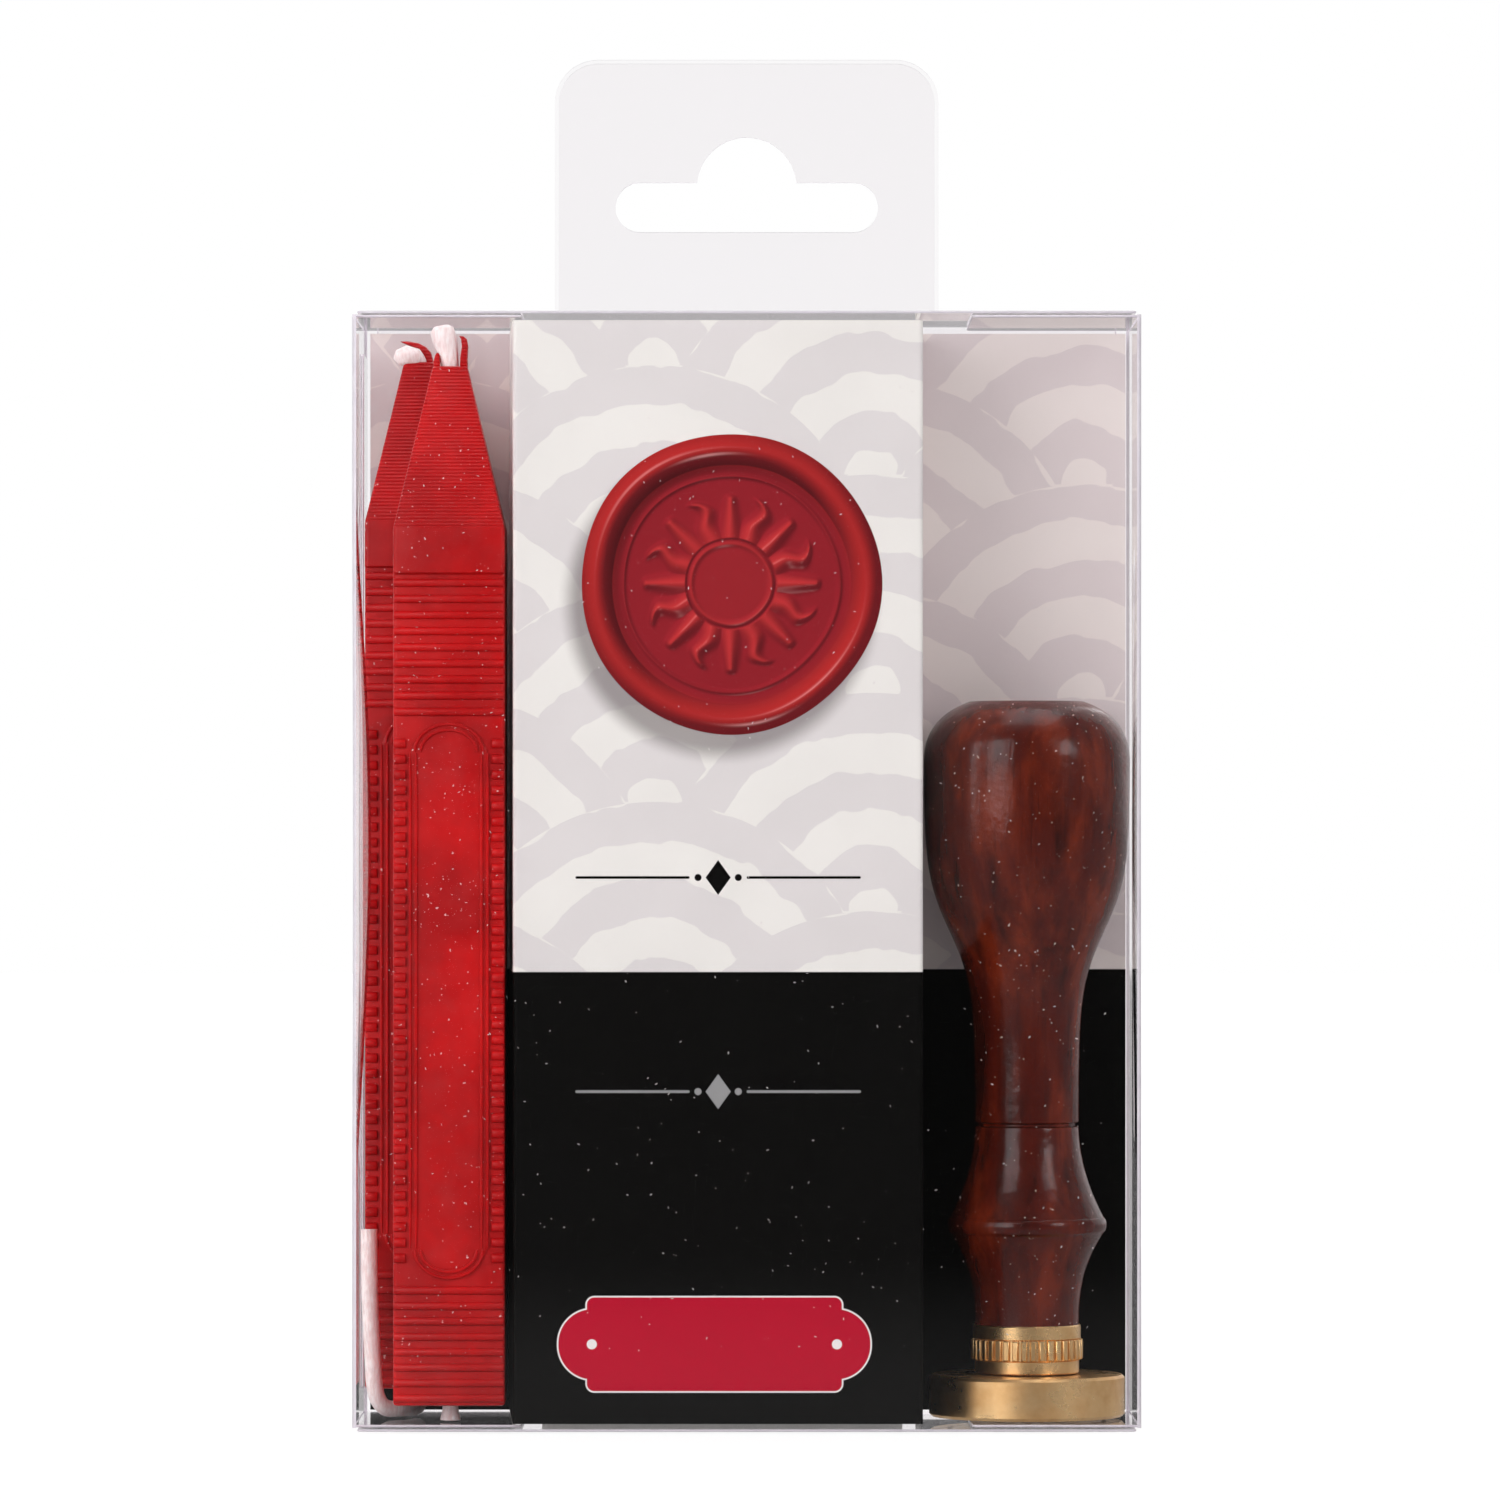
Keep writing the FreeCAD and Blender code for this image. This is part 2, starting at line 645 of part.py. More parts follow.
def main():
    save("front_panel", front_panel())
    save("right_panel", right_panel())
    save("left_panel", mirrored_x(right_panel()))
    save("back_panel", back_panel())
    save("glue_flap", glue_flap())
    save("hang_tab", hang_tab())
    save("tab_doubler", tab_doubler())
    ends = {"lid": top_lid, "tuck_flap": top_tuck_flap, "dust_flap_right": top_dust_flap_right}
    for name, make in ends.items():
        save("top_" + name, make())
        save("bottom_" + name, flipped_z(make()))
    save("top_dust_flap_left", mirrored_x(top_dust_flap_right()))
    save("bottom_dust_flap_left", flipped_z(mirrored_x(top_dust_flap_right())))
    save("card_front", card_front())
    save("card_web_left", card_web(CARD_LEFT, CARD_LEFT - WEB_FLARE, CARD))
    save("card_web_right", card_web(CARD_RIGHT - CARD, CARD_RIGHT - CARD, CARD))
    save("card_wing_left", card_wing(-IN_W + FILM + WING_SIDE_GAP, CARD_LEFT - WEB_FLARE + CARD))
    save("card_wing_right", card_wing(CARD_RIGHT - CARD, IN_W - WING_SIDE_GAP))
    for name, shape in zip(("booklet_cover", "booklet_pages", "booklet_staples"), booklet_pieces()):
        save(name, shape)
    save("wax_stick_front", wax_stick(FRONT_STICK_X, FRONT_STICK_Y, FRONT_STICK_Z))
    save("wax_stick_rear", wax_stick(REAR_STICK_X, REAR_STICK_Y, REAR_STICK_Z))
    save("wick_front", wick_front())
    save("wick_rear", wick_rear())
    save("wick_rear_tail", wick_rear_tail())
    save("stamp_handle", stamp_handle())
    save("stamp_ferrule", stamp_ferrule())
    save("seal_head", seal_head())
    save("threaded_stud", threaded_stud())


main()
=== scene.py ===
"""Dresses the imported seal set: a clear hang box with a printed card, wax sticks, a booklet and a stamp."""

from __future__ import annotations

import json
import logging
import math
from dataclasses import dataclass, field
from enum import Enum
from functools import cache
from typing import Any, Sequence

import bmesh
import bpy
import numpy as np
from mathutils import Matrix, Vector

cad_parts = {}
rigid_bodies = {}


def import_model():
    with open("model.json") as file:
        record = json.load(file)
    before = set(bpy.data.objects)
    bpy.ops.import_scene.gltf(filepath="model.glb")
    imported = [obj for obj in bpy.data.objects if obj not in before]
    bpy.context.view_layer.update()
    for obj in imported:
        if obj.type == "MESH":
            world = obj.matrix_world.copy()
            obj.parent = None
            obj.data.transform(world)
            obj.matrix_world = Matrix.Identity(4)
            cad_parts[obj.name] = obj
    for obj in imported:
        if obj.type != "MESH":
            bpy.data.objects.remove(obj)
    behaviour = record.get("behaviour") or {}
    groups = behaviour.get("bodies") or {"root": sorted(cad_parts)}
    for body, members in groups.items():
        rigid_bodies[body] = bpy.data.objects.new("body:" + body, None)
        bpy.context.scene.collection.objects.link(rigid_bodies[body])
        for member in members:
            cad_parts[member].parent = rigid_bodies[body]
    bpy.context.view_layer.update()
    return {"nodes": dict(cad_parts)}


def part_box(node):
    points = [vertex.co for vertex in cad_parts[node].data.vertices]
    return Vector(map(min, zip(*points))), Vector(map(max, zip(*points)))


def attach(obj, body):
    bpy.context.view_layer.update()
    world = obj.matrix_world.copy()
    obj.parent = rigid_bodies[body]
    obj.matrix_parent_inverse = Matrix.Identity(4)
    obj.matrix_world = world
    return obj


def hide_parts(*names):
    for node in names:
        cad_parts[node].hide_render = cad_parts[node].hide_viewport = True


for stray in list(bpy.data.objects):
    bpy.data.objects.remove(stray)
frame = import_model()

log = logging.getLogger("seal_set")
Colour = tuple[float, float, float]
Point = tuple[float, float, float]
Pair = tuple[float, float]
Material = bpy.types.Material
Piece = bpy.types.Object
Socket = bpy.types.NodeSocket
Tree = bpy.types.NodeTree
MM = 0.001


class Body(str, Enum):
    """The bodies that dressed pieces ride on."""

    BOX = "film_box"
    TOP_LID = "top_lid"
    TOP_TUCK = "top_tuck"
    TOP_DUST_LEFT = "top_dust_left"
    TOP_DUST_RIGHT = "top_dust_right"
    BOTTOM_LID = "bottom_lid"
    BOTTOM_TUCK = "bottom_tuck"
    BOTTOM_DUST_LEFT = "bottom_dust_left"
    BOTTOM_DUST_RIGHT = "bottom_dust_right"
    BOOKLET = "booklet"
    HANDLE = "handle"


class Slot(str, Enum):
    """The record's material slots."""

    FILM = "clear_film"
    CARD = "printed_card"
    PAPER = "booklet_paper"
    WAX = "red_wax"
    WICK = "waxed_wick"
    WOOD = "varnished_wood"
    BRASS = "brass"


def srgb(red: int, green: int, blue: int) -> Colour:
    """Turns 8-bit display values into the linear colour that shaders take.

    Args:
        red: Red, 0 to 255.
        green: Green, 0 to 255.
        blue: Blue, 0 to 255.

    Returns:
        The linear colour.
    """
    def linear(value: int) -> float:
        """One channel in linear light."""
        part = value / 255
        return part / 12.92 if part <= 0.04045 else ((part + 0.055) / 1.055) ** 2.4

    return linear(red), linear(green), linear(blue)


# Node wiring


@dataclass
class Wiring:
    """Adds nodes to one node tree and joins their sockets."""

    tree: Tree

    def feed(self, socket: Socket, value: Any) -> None:
        """Links a socket, or sets its value.

        Args:
            socket: The input to fill.
            value: Another node's output, a number, a vector or a colour.
        """
        if isinstance(value, bpy.types.NodeSocket):
            self.tree.links.new(value, socket)
        elif socket.type == "RGBA" and len(value) == 3:
            socket.default_value = (*value, 1.0)
        else:
            socket.default_value = value

    def node(self, kind: str, inputs: dict[Any, Any] | None = None, **settings: Any) -> bpy.types.Node:
        """Adds a node.

        Args:
            kind: The node's type name.
            inputs: Values or sockets by input name or index.
            **settings: Properties of the node itself.

        Returns:
            The new node.
        """
        made = self.tree.nodes.new(kind)
        for name, value in settings.items():
            setattr(made, name, value)
        for key, value in (inputs or {}).items():
            self.feed(made.inputs[key], value)
        return made

    def math(self, operation: str, a: Any, b: Any = 0.0, c: Any = 0.0) -> Socket:
        """The output of one Math node."""
        return self.node("ShaderNodeMath", {0: a, 1: b, 2: c}, operation=operation).outputs[0]

    def vector(self, operation: str, a: Any, b: Any = (0.0, 0.0, 0.0)) -> Socket:
        """The output of one Vector Math node, its Value where the result is a number."""
        made = self.node("ShaderNodeVectorMath", {0: a, 1: b}, operation=operation)
        return made.outputs["Value" if operation in ("LENGTH", "DOT_PRODUCT") else "Vector"]

    def mix(self, share: Any, a: Any, b: Any, blend: str = "MIX") -> Socket:
        """The output of one colour Mix node."""
        inputs = {0: share, 6: a, 7: b}
        return self.node("ShaderNodeMix", inputs, data_type="RGBA", blend_type=blend).outputs[2]

    def between(self, share: Any, a: Any, b: Any) -> Socket:
        """The output of one Mix node for numbers."""
        return self.node("ShaderNodeMix", {0: share, 2: a, 3: b}, data_type="FLOAT").outputs[0]

    def ease(self, value: Any, low: float, high: float, to_low: float = 0.0, to_high: float = 1.0) -> Socket:
        """A smooth step of a value between two levels."""
        inputs = {0: value, 1: low, 2: high, 3: to_low, 4: to_high}
        return self.node("ShaderNodeMapRange", inputs, interpolation_type="SMOOTHSTEP").outputs[0]

    def noise(
            self, place: Any, scale: float, detail: float = 3.0, rough: float = 0.5, twist: float = 0.0,
    ) -> Socket:
        """The factor of one Noise Texture."""
        inputs = {"Vector": place, "Scale": scale, "Detail": detail, "Roughness": rough, "Distortion": twist}
        return self.node("ShaderNodeTexNoise", inputs).outputs[0]

    def bump(self, height: Any, strength: float, distance: float, normal: Any = None) -> Socket:
        """Turns a height into a normal.

        Args:
            height: The height.
            strength: How much of the bump shows, 0 to 1.
            distance: What a height of 1 stands for, in metres.
            normal: Another normal to lie on, if any.

        Returns:
            The Bump node's normal.
        """
        below = {} if normal is None else {"Normal": normal}
        inputs = {"Height": height, "Strength": strength, "Distance": distance, **below}
        return self.node("ShaderNodeBump", inputs).outputs[0]

    def place(self, source: str = "Object", scale: float = 1 / MM) -> Socket:
        """Surface coordinates from Object or UV, in millimetres unless scaled otherwise."""
        return self.stretch(self.node("ShaderNodeTexCoord").outputs[source], (scale, scale, scale))

    def stretch(self, place: Any, scale: Point, turn: Point = (0.0, 0.0, 0.0)) -> Socket:
        """Coordinates scaled and turned by one Mapping node."""
        return self.node("ShaderNodeMapping", {"Vector": place, "Scale": scale, "Rotation": turn}).outputs[0]

    def axis(self, place: Any, number: int) -> Socket:
        """One coordinate of a place."""
        return self.node("ShaderNodeSeparateXYZ", {0: place}).outputs[number]

    def group(self, tree: Tree, **inputs: Any) -> Any:
        """Places a node group.

        Args:
            tree: The group.
            **inputs: Values or sockets by input name, in lower case here.

        Returns:
            The group's outputs.
        """
        made = self.node("ShaderNodeGroup", node_tree=tree)
        for name, value in inputs.items():
            self.feed(made.inputs[name.capitalize()], value)
        return made.outputs

    def principled(self, **inputs: Any) -> Socket:
        """Adds the Principled shader.

        Args:
            **inputs: Values or sockets by input name, in lower case with underscores here.

        Returns:
            The shader.
        """
        made = self.node("ShaderNodeBsdfPrincipled")
        names = {socket.name.lower().replace(" ", "_"): socket for socket in made.inputs}
        for name, value in inputs.items():
            self.feed(names[name], value)
        return made.outputs[0]

    def let_light_in(self, shader: Socket, tint: Colour) -> Socket:
        """Lets rays from the lamps through a shader without bending them.

        Args:
            shader: The shader that all other rays meet.
            tint: The colour that the light takes on.

        Returns:
            The mixed shader.
        """
        clear = self.node("ShaderNodeBsdfTransparent", {"Color": tint}).outputs[0]
        lamp = self.node("ShaderNodeLightPath").outputs["Is Shadow Ray"]
        return self.node("ShaderNodeMixShader", {0: lamp, 1: shader, 2: clear}).outputs[0]

    def output(self, shader: Socket) -> None:
        """Joins a shader to the material's surface."""
        self.node("ShaderNodeOutputMaterial", {"Surface": shader})


def new_finish(name: str) -> tuple[Material, Wiring]:
    """Makes an empty material.

    Args:
        name: The material's name.

    Returns:
        The material and its wiring.
    """
    made = bpy.data.materials.new(name)
    made.use_nodes = True
    made.node_tree.nodes.clear()
    return made, Wiring(made.node_tree)


class Marks:
    """Shader groups that several finishes share, each made once."""

    @staticmethod
    def _start(name: str, inputs: dict[str, str], outputs: dict[str, str]) -> tuple[Wiring, Any, Any]:
        """Opens a new group with its sockets.

        Args:
            name: The group's name.
            inputs: Socket types by input name.
            outputs: Socket types by output name.

        Returns:
            The group's wiring, its input node's outputs and its output node's inputs.
        """
        net = Wiring(bpy.data.node_groups.new(name, "ShaderNodeTree"))
        for names, way in ((inputs, "INPUT"), (outputs, "OUTPUT")):
            for label, kind in names.items():
                net.tree.interface.new_socket(name=label, in_out=way, socket_type="NodeSocket" + kind)
        return net, net.node("NodeGroupInput").outputs, net.node("NodeGroupOutput").inputs

    @staticmethod
    @cache
    def specks() -> Tree:
        """Pale dust specks and soft smudges over a colour.

        Returns:
            The group.
        """
        sockets = {"Vector": "Vector", "Colour": "Color", "Dust": "Color"}
        sockets |= {"Density": "Float", "Smudge": "Float"}
        net, given, out = Marks._start("dust_specks", sockets, {"Colour": "Color", "Mask": "Float"})
        place = given["Vector"]
        fine = net.noise(place, scale=2.3, detail=1.0, rough=0.4)
        cover = net.noise(place, scale=0.16, detail=2.0)
        lower = net.math("MULTIPLY", given["Density"], net.math("MULTIPLY", cover, 0.22))
        over = net.math("MULTIPLY", net.math("SUBTRACT", fine, net.math("SUBTRACT", 0.83, lower)), 14.0)
        mask = net.math("MINIMUM", net.math("MAXIMUM", over, 0.0), 0.85)
        cloud = net.ease(net.noise(place, scale=0.21, detail=4.0, rough=0.6), 0.45, 0.8)
        worn = net.mix(net.math("MULTIPLY", cloud, given["Smudge"]), given["Colour"], given["Dust"])
        net.feed(out["Colour"], net.mix(mask, worn, given["Dust"]))
        net.feed(out["Mask"], mask)
        return net.tree

    @staticmethod
    @cache
    def scratches() -> Tree:
        """Thin crossing scratches as a mask.

        Returns:
            The group.
        """
        sockets = {"Vector": "Vector", "Amount": "Float"}
        net, given, out = Marks._start("thin_scratches", sockets, {"Mask": "Float"})
        total: Any = 0.0
        for turn in (0.35, 1.9):
            turned = net.stretch(given["Vector"], (3.4, 3.4, 0.06), (0.2, turn, turn))
            line = net.noise(turned, scale=1.0, detail=1.0, rough=0.3, twist=0.15)
            total = net.math("ADD", total, net.ease(line, 0.74, 0.80))
        net.feed(out["Mask"], net.math("MULTIPLY", net.math("MINIMUM", total, 1.0), given["Amount"]))
        return net.tree

    @staticmethod
    @cache
    def fibres() -> Tree:
        """Paper fibre: a slightly uneven colour and its height.

        Returns:
            The group.
        """
        sockets = {"Vector": "Vector", "Colour": "Color"}
        net, given, out = Marks._start("paper_fibre", sockets, {"Colour": "Color", "Height": "Float"})
        height = net.noise(net.stretch(given["Vector"], (1.0, 1.0, 0.35)), scale=6.0, detail=5.0, rough=0.65)
        shade = net.ease(net.noise(given["Vector"], scale=0.08), 0.3, 0.7, 0.965, 1.0)
        tone = net.math("MULTIPLY", shade, net.ease(height, 0.2, 0.8, 0.975, 1.0))
        grey = net.node("ShaderNodeCombineColor", {0: tone, 1: tone, 2: tone}).outputs[0]
        net.feed(out["Colour"], net.mix(1.0, given["Colour"], grey, "MULTIPLY"))
        net.feed(out["Height"], height)
        return net.tree

    @staticmethod
    @cache
    def scales() -> Tree:
        """Overlapping scales of concentric arcs, the old wave pattern, as a mask on a flat sheet.

        Returns:
            The group.
        """
        sockets = {"Vector": "Vector", "Radius": "Float", "Pitch": "Float", "Wobble": "Float"}
        net, given, out = Marks._start("wave_scales", sockets, {"Mask": "Float"})
        radius = given["Radius"]
        across, up = net.axis(given["Vector"], 0), net.axis(given["Vector"], 1)
        step = net.math("MULTIPLY", radius, 0.5)
        level = net.math("FLOOR", net.math("DIVIDE", up, step))
        away = []
        for back in (1.0, 0.0):
            row = net.math("SUBTRACT", level, back)
            offset = net.math("MULTIPLY", radius, net.math("FLOORED_MODULO", row, 2.0))
            left = net.math("MULTIPLY", radius, -1.0)
            x = net.math("WRAP", net.math("SUBTRACT", across, offset), radius, left)
            z = net.math("SUBTRACT", up, net.math("MULTIPLY", row, step))
            square = net.math("ADD", net.math("MULTIPLY", x, x), net.math("MULTIPLY", z, z))
            away.append(net.math("SQRT", square))
        near = net.between(net.math("GREATER_THAN", away[0], radius), *away)
        uneven = net.math("SUBTRACT", net.noise(given["Vector"], scale=0.2, detail=2.0), 0.5)
        edge = net.math("ADD", radius, net.math("MULTIPLY", uneven, given["Wobble"]))
        inward = net.math("MULTIPLY", net.math("SUBTRACT", edge, near), 2 * math.pi)
        wave = net.math("SINE", net.math("DIVIDE", inward, given["Pitch"]))
        net.feed(out["Mask"], net.ease(wave, -0.06, 0.06))
        return net.tree

    @staticmethod
    @cache
    def panel() -> Tree:
        """How far a point lies outside a panel with rounded corners.

        Returns:
            The group.
        """
        sockets = {"Vector": "Vector", "Centre": "Vector", "Half": "Vector", "Radius": "Float"}
        net, given, out = Marks._start("rounded_panel", sockets, {"Distance": "Float"})
        away = net.vector("ABSOLUTE", net.vector("SUBTRACT", given["Vector"], given["Centre"]))
        past = net.vector("ADD", net.vector("SUBTRACT", away, given["Half"]), given["Radius"])
        flat = net.vector("MULTIPLY", net.vector("MAXIMUM", past), (1.0, 1.0, 0.0))
        net.feed(out["Distance"], net.math("SUBTRACT", net.vector("LENGTH", flat), given["Radius"]))
        return net.tree


@dataclass
class Sheet:
    """A flat sheet in millimetres, on which figures are drawn by their distance."""

    net: Wiring
    place: Socket

    def panel(self, centre: Point, half: Pair, radius: float) -> Socket:
        """How far a point lies outside a panel with rounded corners."""
        sizes = {"centre": centre, "half": (*half, 0.0), "radius": radius}
        return self.net.group(Marks.panel(), vector=self.place, **sizes)["Distance"]

    def dot(self, centre: Point, radius: float) -> Socket:
        """How far a point lies outside a round dot."""
        return self.panel(centre, (radius, radius), radius)

    def lozenge(self, centre: Point, slope: float) -> Socket:
        """How far a point lies from a lozenge's middle, as half the width of the lozenge through it."""
        away = self.net.vector("ABSOLUTE", self.net.vector("SUBTRACT", self.place, centre))
        return self.net.vector("DOT_PRODUCT", away, (1.0, slope, 0.0))

    def stamp(self, ink: Any, figure: Any, colour: Colour, rim: Pair = (0.05, -0.05)) -> Socket:
        """The ink with a figure printed over it, whose rim fades in between two distances."""
        return self.net.mix(self.net.ease(figure, *rim), ink, colour)


# Finishes


@dataclass(frozen=True)
class FilmFinish:
    """Clear folded film, faintly tinted, with a few thin scratches."""

    name: str = "clear_film"
    tint: Colour = (0.97, 0.959, 0.966)
    ior: float = 1.25
    roughness: float = 0.02
    scratched: float = 0.05

    def make(self) -> Material:
        """Builds the material.

        Returns:
            The finish.
        """
        made, net = new_finish(self.name)
        scratch = net.group(Marks.scratches(), vector=net.place(), amount=self.scratched)["Mask"]
        rough = net.math("ADD", scratch, self.roughness)
        shader = net.principled(base_color=self.tint, roughness=rough, ior=self.ior, transmission_weight=1.0)
        net.output(net.let_light_in(shader, self.tint))
        return made


@dataclass(frozen=True)
class CreaseFinish:
    """Film whitened where it is folded or cut."""

    name: str = "creased_film"
    tint: Colour = srgb(222, 213, 224)
    white: Colour = srgb(246, 242, 247)
    ior: float = 1.25
    roughness: float = 0.22
    clear: float = 0.2

    def make(self) -> Material:
        """Builds the material.

        Returns:
            The finish.
        """
        made, net = new_finish(self.name)
        worn = net.mix(net.noise(net.place(), scale=0.35), self.tint, self.white)
        shader = net.principled(
            base_color=worn, roughness=self.roughness, ior=self.ior, transmission_weight=self.clear)
        net.output(net.let_light_in(shader, self.tint))
        return made


@dataclass(frozen=True)
class CardPrint:
    """The card's print: pale wave scales above, black below, a bare red label and two plain rules, with a
    painted pink tint of red bounce light on the wings.
    """

    name: str = "printed_card"
    ground: Colour = srgb(237, 235, 230)
    ring: Colour = srgb(223, 219, 218)
    dark: Colour = srgb(9, 8, 7)
    label: Colour = srgb(184, 18, 46)
    pale: Colour = srgb(238, 236, 234)
    grey: Colour = srgb(150, 150, 150)
    shade: Colour = srgb(120, 112, 112)
    painted_red_bounce: Colour = (1.0, 0.93, 0.94)
    red_bounce_at: Pair = (44.4, 50.4)
    middle: float = -3.4
    dark_rim: Pair = (54.81, 54.69)
    wave_shift: Point = (11.0, 3.0, 0.0)
    wave_radius: float = 26.0
    wave_pitch: float = 9.2
    wave_wobble: float = 2.6
    seal_at: Point = (-3.1, 98.7, 0.0)
    seal_shade: Pair = (19.6, 16.8)
    seal_dark: float = 0.72
    rule_levels: Pair = (66.0, 40.5)
    rule_half: float = 17.0
    rule_gap: float = 3.4
    rule_thick: float = 0.16
    rule_round: float = 0.15
    gem_half: float = 1.5
    gem_slope: float = 0.72
    rule_dot: Pair = (2.4, 0.42)
    label_at: Point = (-3.85, 10.4, 0.0)
    label_long: Pair = (18.6, 4.2)
    label_tall: Pair = (15.2, 5.6)
    label_corners: Pair = (4.1, 0.9)
    label_rim: Pair = (0.03, -0.07)
    border_rim: Pair = (0.22, 0.12)
    label_dot: Pair = (14.6, 0.6)

    def make(self) -> Material:
        """Builds the material.

        Returns:
            The finish.
        """
        made, net = new_finish(self.name)
        sheet = Sheet(net, net.place("UV"))
        waves = net.group(
            Marks.scales(), vector=net.vector("ADD", sheet.place, self.wave_shift), radius=self.wave_radius,
            pitch=self.wave_pitch, wobble=self.wave_wobble)["Mask"]
        ink = net.mix(waves, self.ground, self.ring)
        aside = net.math("ABSOLUTE", net.math("SUBTRACT", net.axis(sheet.place, 0), self.middle))
        # Painted red bounce light: the wings beyond the webs are tinted pink, as if lit by light thrown off
        # the red wax.
        ink = net.mix(net.ease(aside, *self.red_bounce_at), ink, self.painted_red_bounce, "MULTIPLY")
        from_seal = net.vector("LENGTH", net.vector("SUBTRACT", sheet.place, self.seal_at))
        ink = net.mix(net.ease(from_seal, *self.seal_shade, 0.0, self.seal_dark), ink, self.shade)
        upper, lower = self.rule_levels
        ink = self._rule(sheet, ink, upper, self.dark)
        ink = sheet.stamp(ink, net.axis(sheet.place, 1), self.dark, self.dark_rim)
        ink = self._rule(sheet, ink, lower, self.grey)
        ink = self._label(sheet, ink)
        fibre = net.group(Marks.fibres(), vector=net.place(), colour=ink)
        normal = net.bump(fibre["Height"], 0.06, 0.05 * MM)
        net.output(net.principled(
            base_color=fibre["Colour"], roughness=0.6, normal=normal, specular_ior_level=0.04))
        return made

    def _rule(self, sheet: Sheet, ink: Any, level: float, colour: Colour) -> Socket:
        """Prints a thin rule with a lozenge and two dots at its middle.

        Args:
            sheet: The sheet to print on.
            ink: The colour below.
            level: The rule's height on the sheet.
            colour: The rule's colour.

        Returns:
            The colour with the rule on it.
        """
        middle = (self.middle, level, 0.0)
        near = sheet.net.math("SUBTRACT", sheet.lozenge(middle, self.gem_slope), self.gem_half)
        bar_half = ((self.rule_half - self.rule_gap) / 2, self.rule_thick)
        dot_at, dot_r = self.rule_dot
        for side in (-1, 1):
            bar_at = (self.middle + side * (self.rule_half + self.rule_gap) / 2, level, 0.0)
            bar = sheet.panel(bar_at, bar_half, self.rule_round)
            dot = sheet.dot((self.middle + side * dot_at, level, 0.0), dot_r)
            near = sheet.net.math("MINIMUM", sheet.net.math("MINIMUM", near, bar), dot)
        return sheet.stamp(ink, near, colour)

    def _label(self, sheet: Sheet, ink: Any) -> Socket:
        """Prints the bare red label with its thin pale border and end dots.

        Args:
            sheet: The sheet to print on.
            ink: The colour below.

        Returns:
            The colour with the label on it.
        """
        x, z, _ = self.label_at
        long_corner, tall_corner = self.label_corners
        long = sheet.panel(self.label_at, self.label_long, long_corner)
        tall = sheet.panel(self.label_at, self.label_tall, tall_corner)
        edge = sheet.net.math("MINIMUM", long, tall)
        ink = sheet.stamp(ink, edge, self.pale, self.border_rim)
        ink = sheet.stamp(ink, edge, self.label, self.label_rim)
        dot_at, dot_r = self.label_dot
        for side in (-1, 1):
            ink = sheet.stamp(ink, sheet.dot((x + side * dot_at, z, 0.0), dot_r), self.pale)
        return ink


@dataclass(frozen=True)
class BoardFinish:
    """Unprinted board or paper."""

    name: str = "card_back"
    colour: Colour = srgb(214, 210, 202)
    roughness: float = 0.8

    def make(self) -> Material:
        """Builds the material.

        Returns:
            The finish.
        """
        made, net = new_finish(self.name)
        fibre = net.group(Marks.fibres(), vector=net.place(), colour=self.colour)
        normal = net.bump(fibre["Height"], 0.2, 0.08 * MM)
        net.output(net.principled(base_color=fibre["Colour"], roughness=self.roughness, normal=normal))
        return made


@dataclass(frozen=True)
class InkFinish:
    """Print whose colour is painted on the mesh."""

    name: str = "seal_print"
    layer: str = "ink"

    def make(self) -> Material:
        """Builds the material.

        Returns:
            The finish.
        """
        made, net = new_finish(self.name)
        ink = net.node("ShaderNodeAttribute", attribute_name=self.layer).outputs["Color"]
        fibre = net.group(Marks.fibres(), vector=net.place(), colour=ink)
        net.output(net.principled(base_color=fibre["Colour"], roughness=0.55, specular_ior_level=0.1))
        return made


@dataclass(frozen=True)
class CoverFinish:
    """The booklet's cover paper: pale wave scales inside a thin dark frame, with a lozenge on them."""

    name: str = "booklet_cover"
    ground: Colour = srgb(233, 229, 222)
    ring: Colour = srgb(214, 208, 204)
    dark: Colour = srgb(40, 36, 34)
    red: Colour = srgb(176, 24, 44)
    centre: Point = (-3.0, 53.1, 0.0)
    half: Pair = (18.6, 48.6)
    corner: float = 2.0
    wave_radius: float = 9.3
    wave_pitch: float = 3.4
    wave_rim: Pair = (-0.7, -0.9)
    frame_inset: float = 0.3
    frame_rim: Pair = (0.3, 0.2)
    gem_slope: float = 0.7
    gem_ground: Pair = (6.6, 6.4)
    gem_line: float = 4.9
    gem_rim: Pair = (0.55, 0.45)

    def make(self) -> Material:
        """Builds the material.

        Returns:
            The finish.
        """
        made, net = new_finish(self.name)
        place = net.place()
        across, up = net.axis(place, 0), net.axis(place, 2)
        sheet = Sheet(net, net.node("ShaderNodeCombineXYZ", {0: across, 1: up, 2: 0.0}).outputs[0])
        waves = net.group(
            Marks.scales(), vector=sheet.place, radius=self.wave_radius, pitch=self.wave_pitch,
            wobble=0.0)["Mask"]
        edge = sheet.panel(self.centre, self.half, self.corner)
        inside = net.math("MULTIPLY", waves, net.ease(edge, *self.wave_rim))
        ink = net.mix(inside, self.ground, self.ring)
        frame_line = net.math("ABSOLUTE", net.math("ADD", edge, self.frame_inset))
        ink = sheet.stamp(ink, frame_line, self.dark, self.frame_rim)
        gem = sheet.lozenge(self.centre, self.gem_slope)
        ink = sheet.stamp(ink, gem, self.ground, self.gem_ground)
        line = net.math("ABSOLUTE", net.math("SUBTRACT", gem, self.gem_line))
        ink = sheet.stamp(ink, line, self.red, self.gem_rim)
        fibre = net.group(Marks.fibres(), vector=place, colour=ink)
        normal = net.bump(fibre["Height"], 0.1, 0.06 * MM)
        net.output(net.principled(base_color=fibre["Colour"], roughness=0.55, normal=normal))
        return made


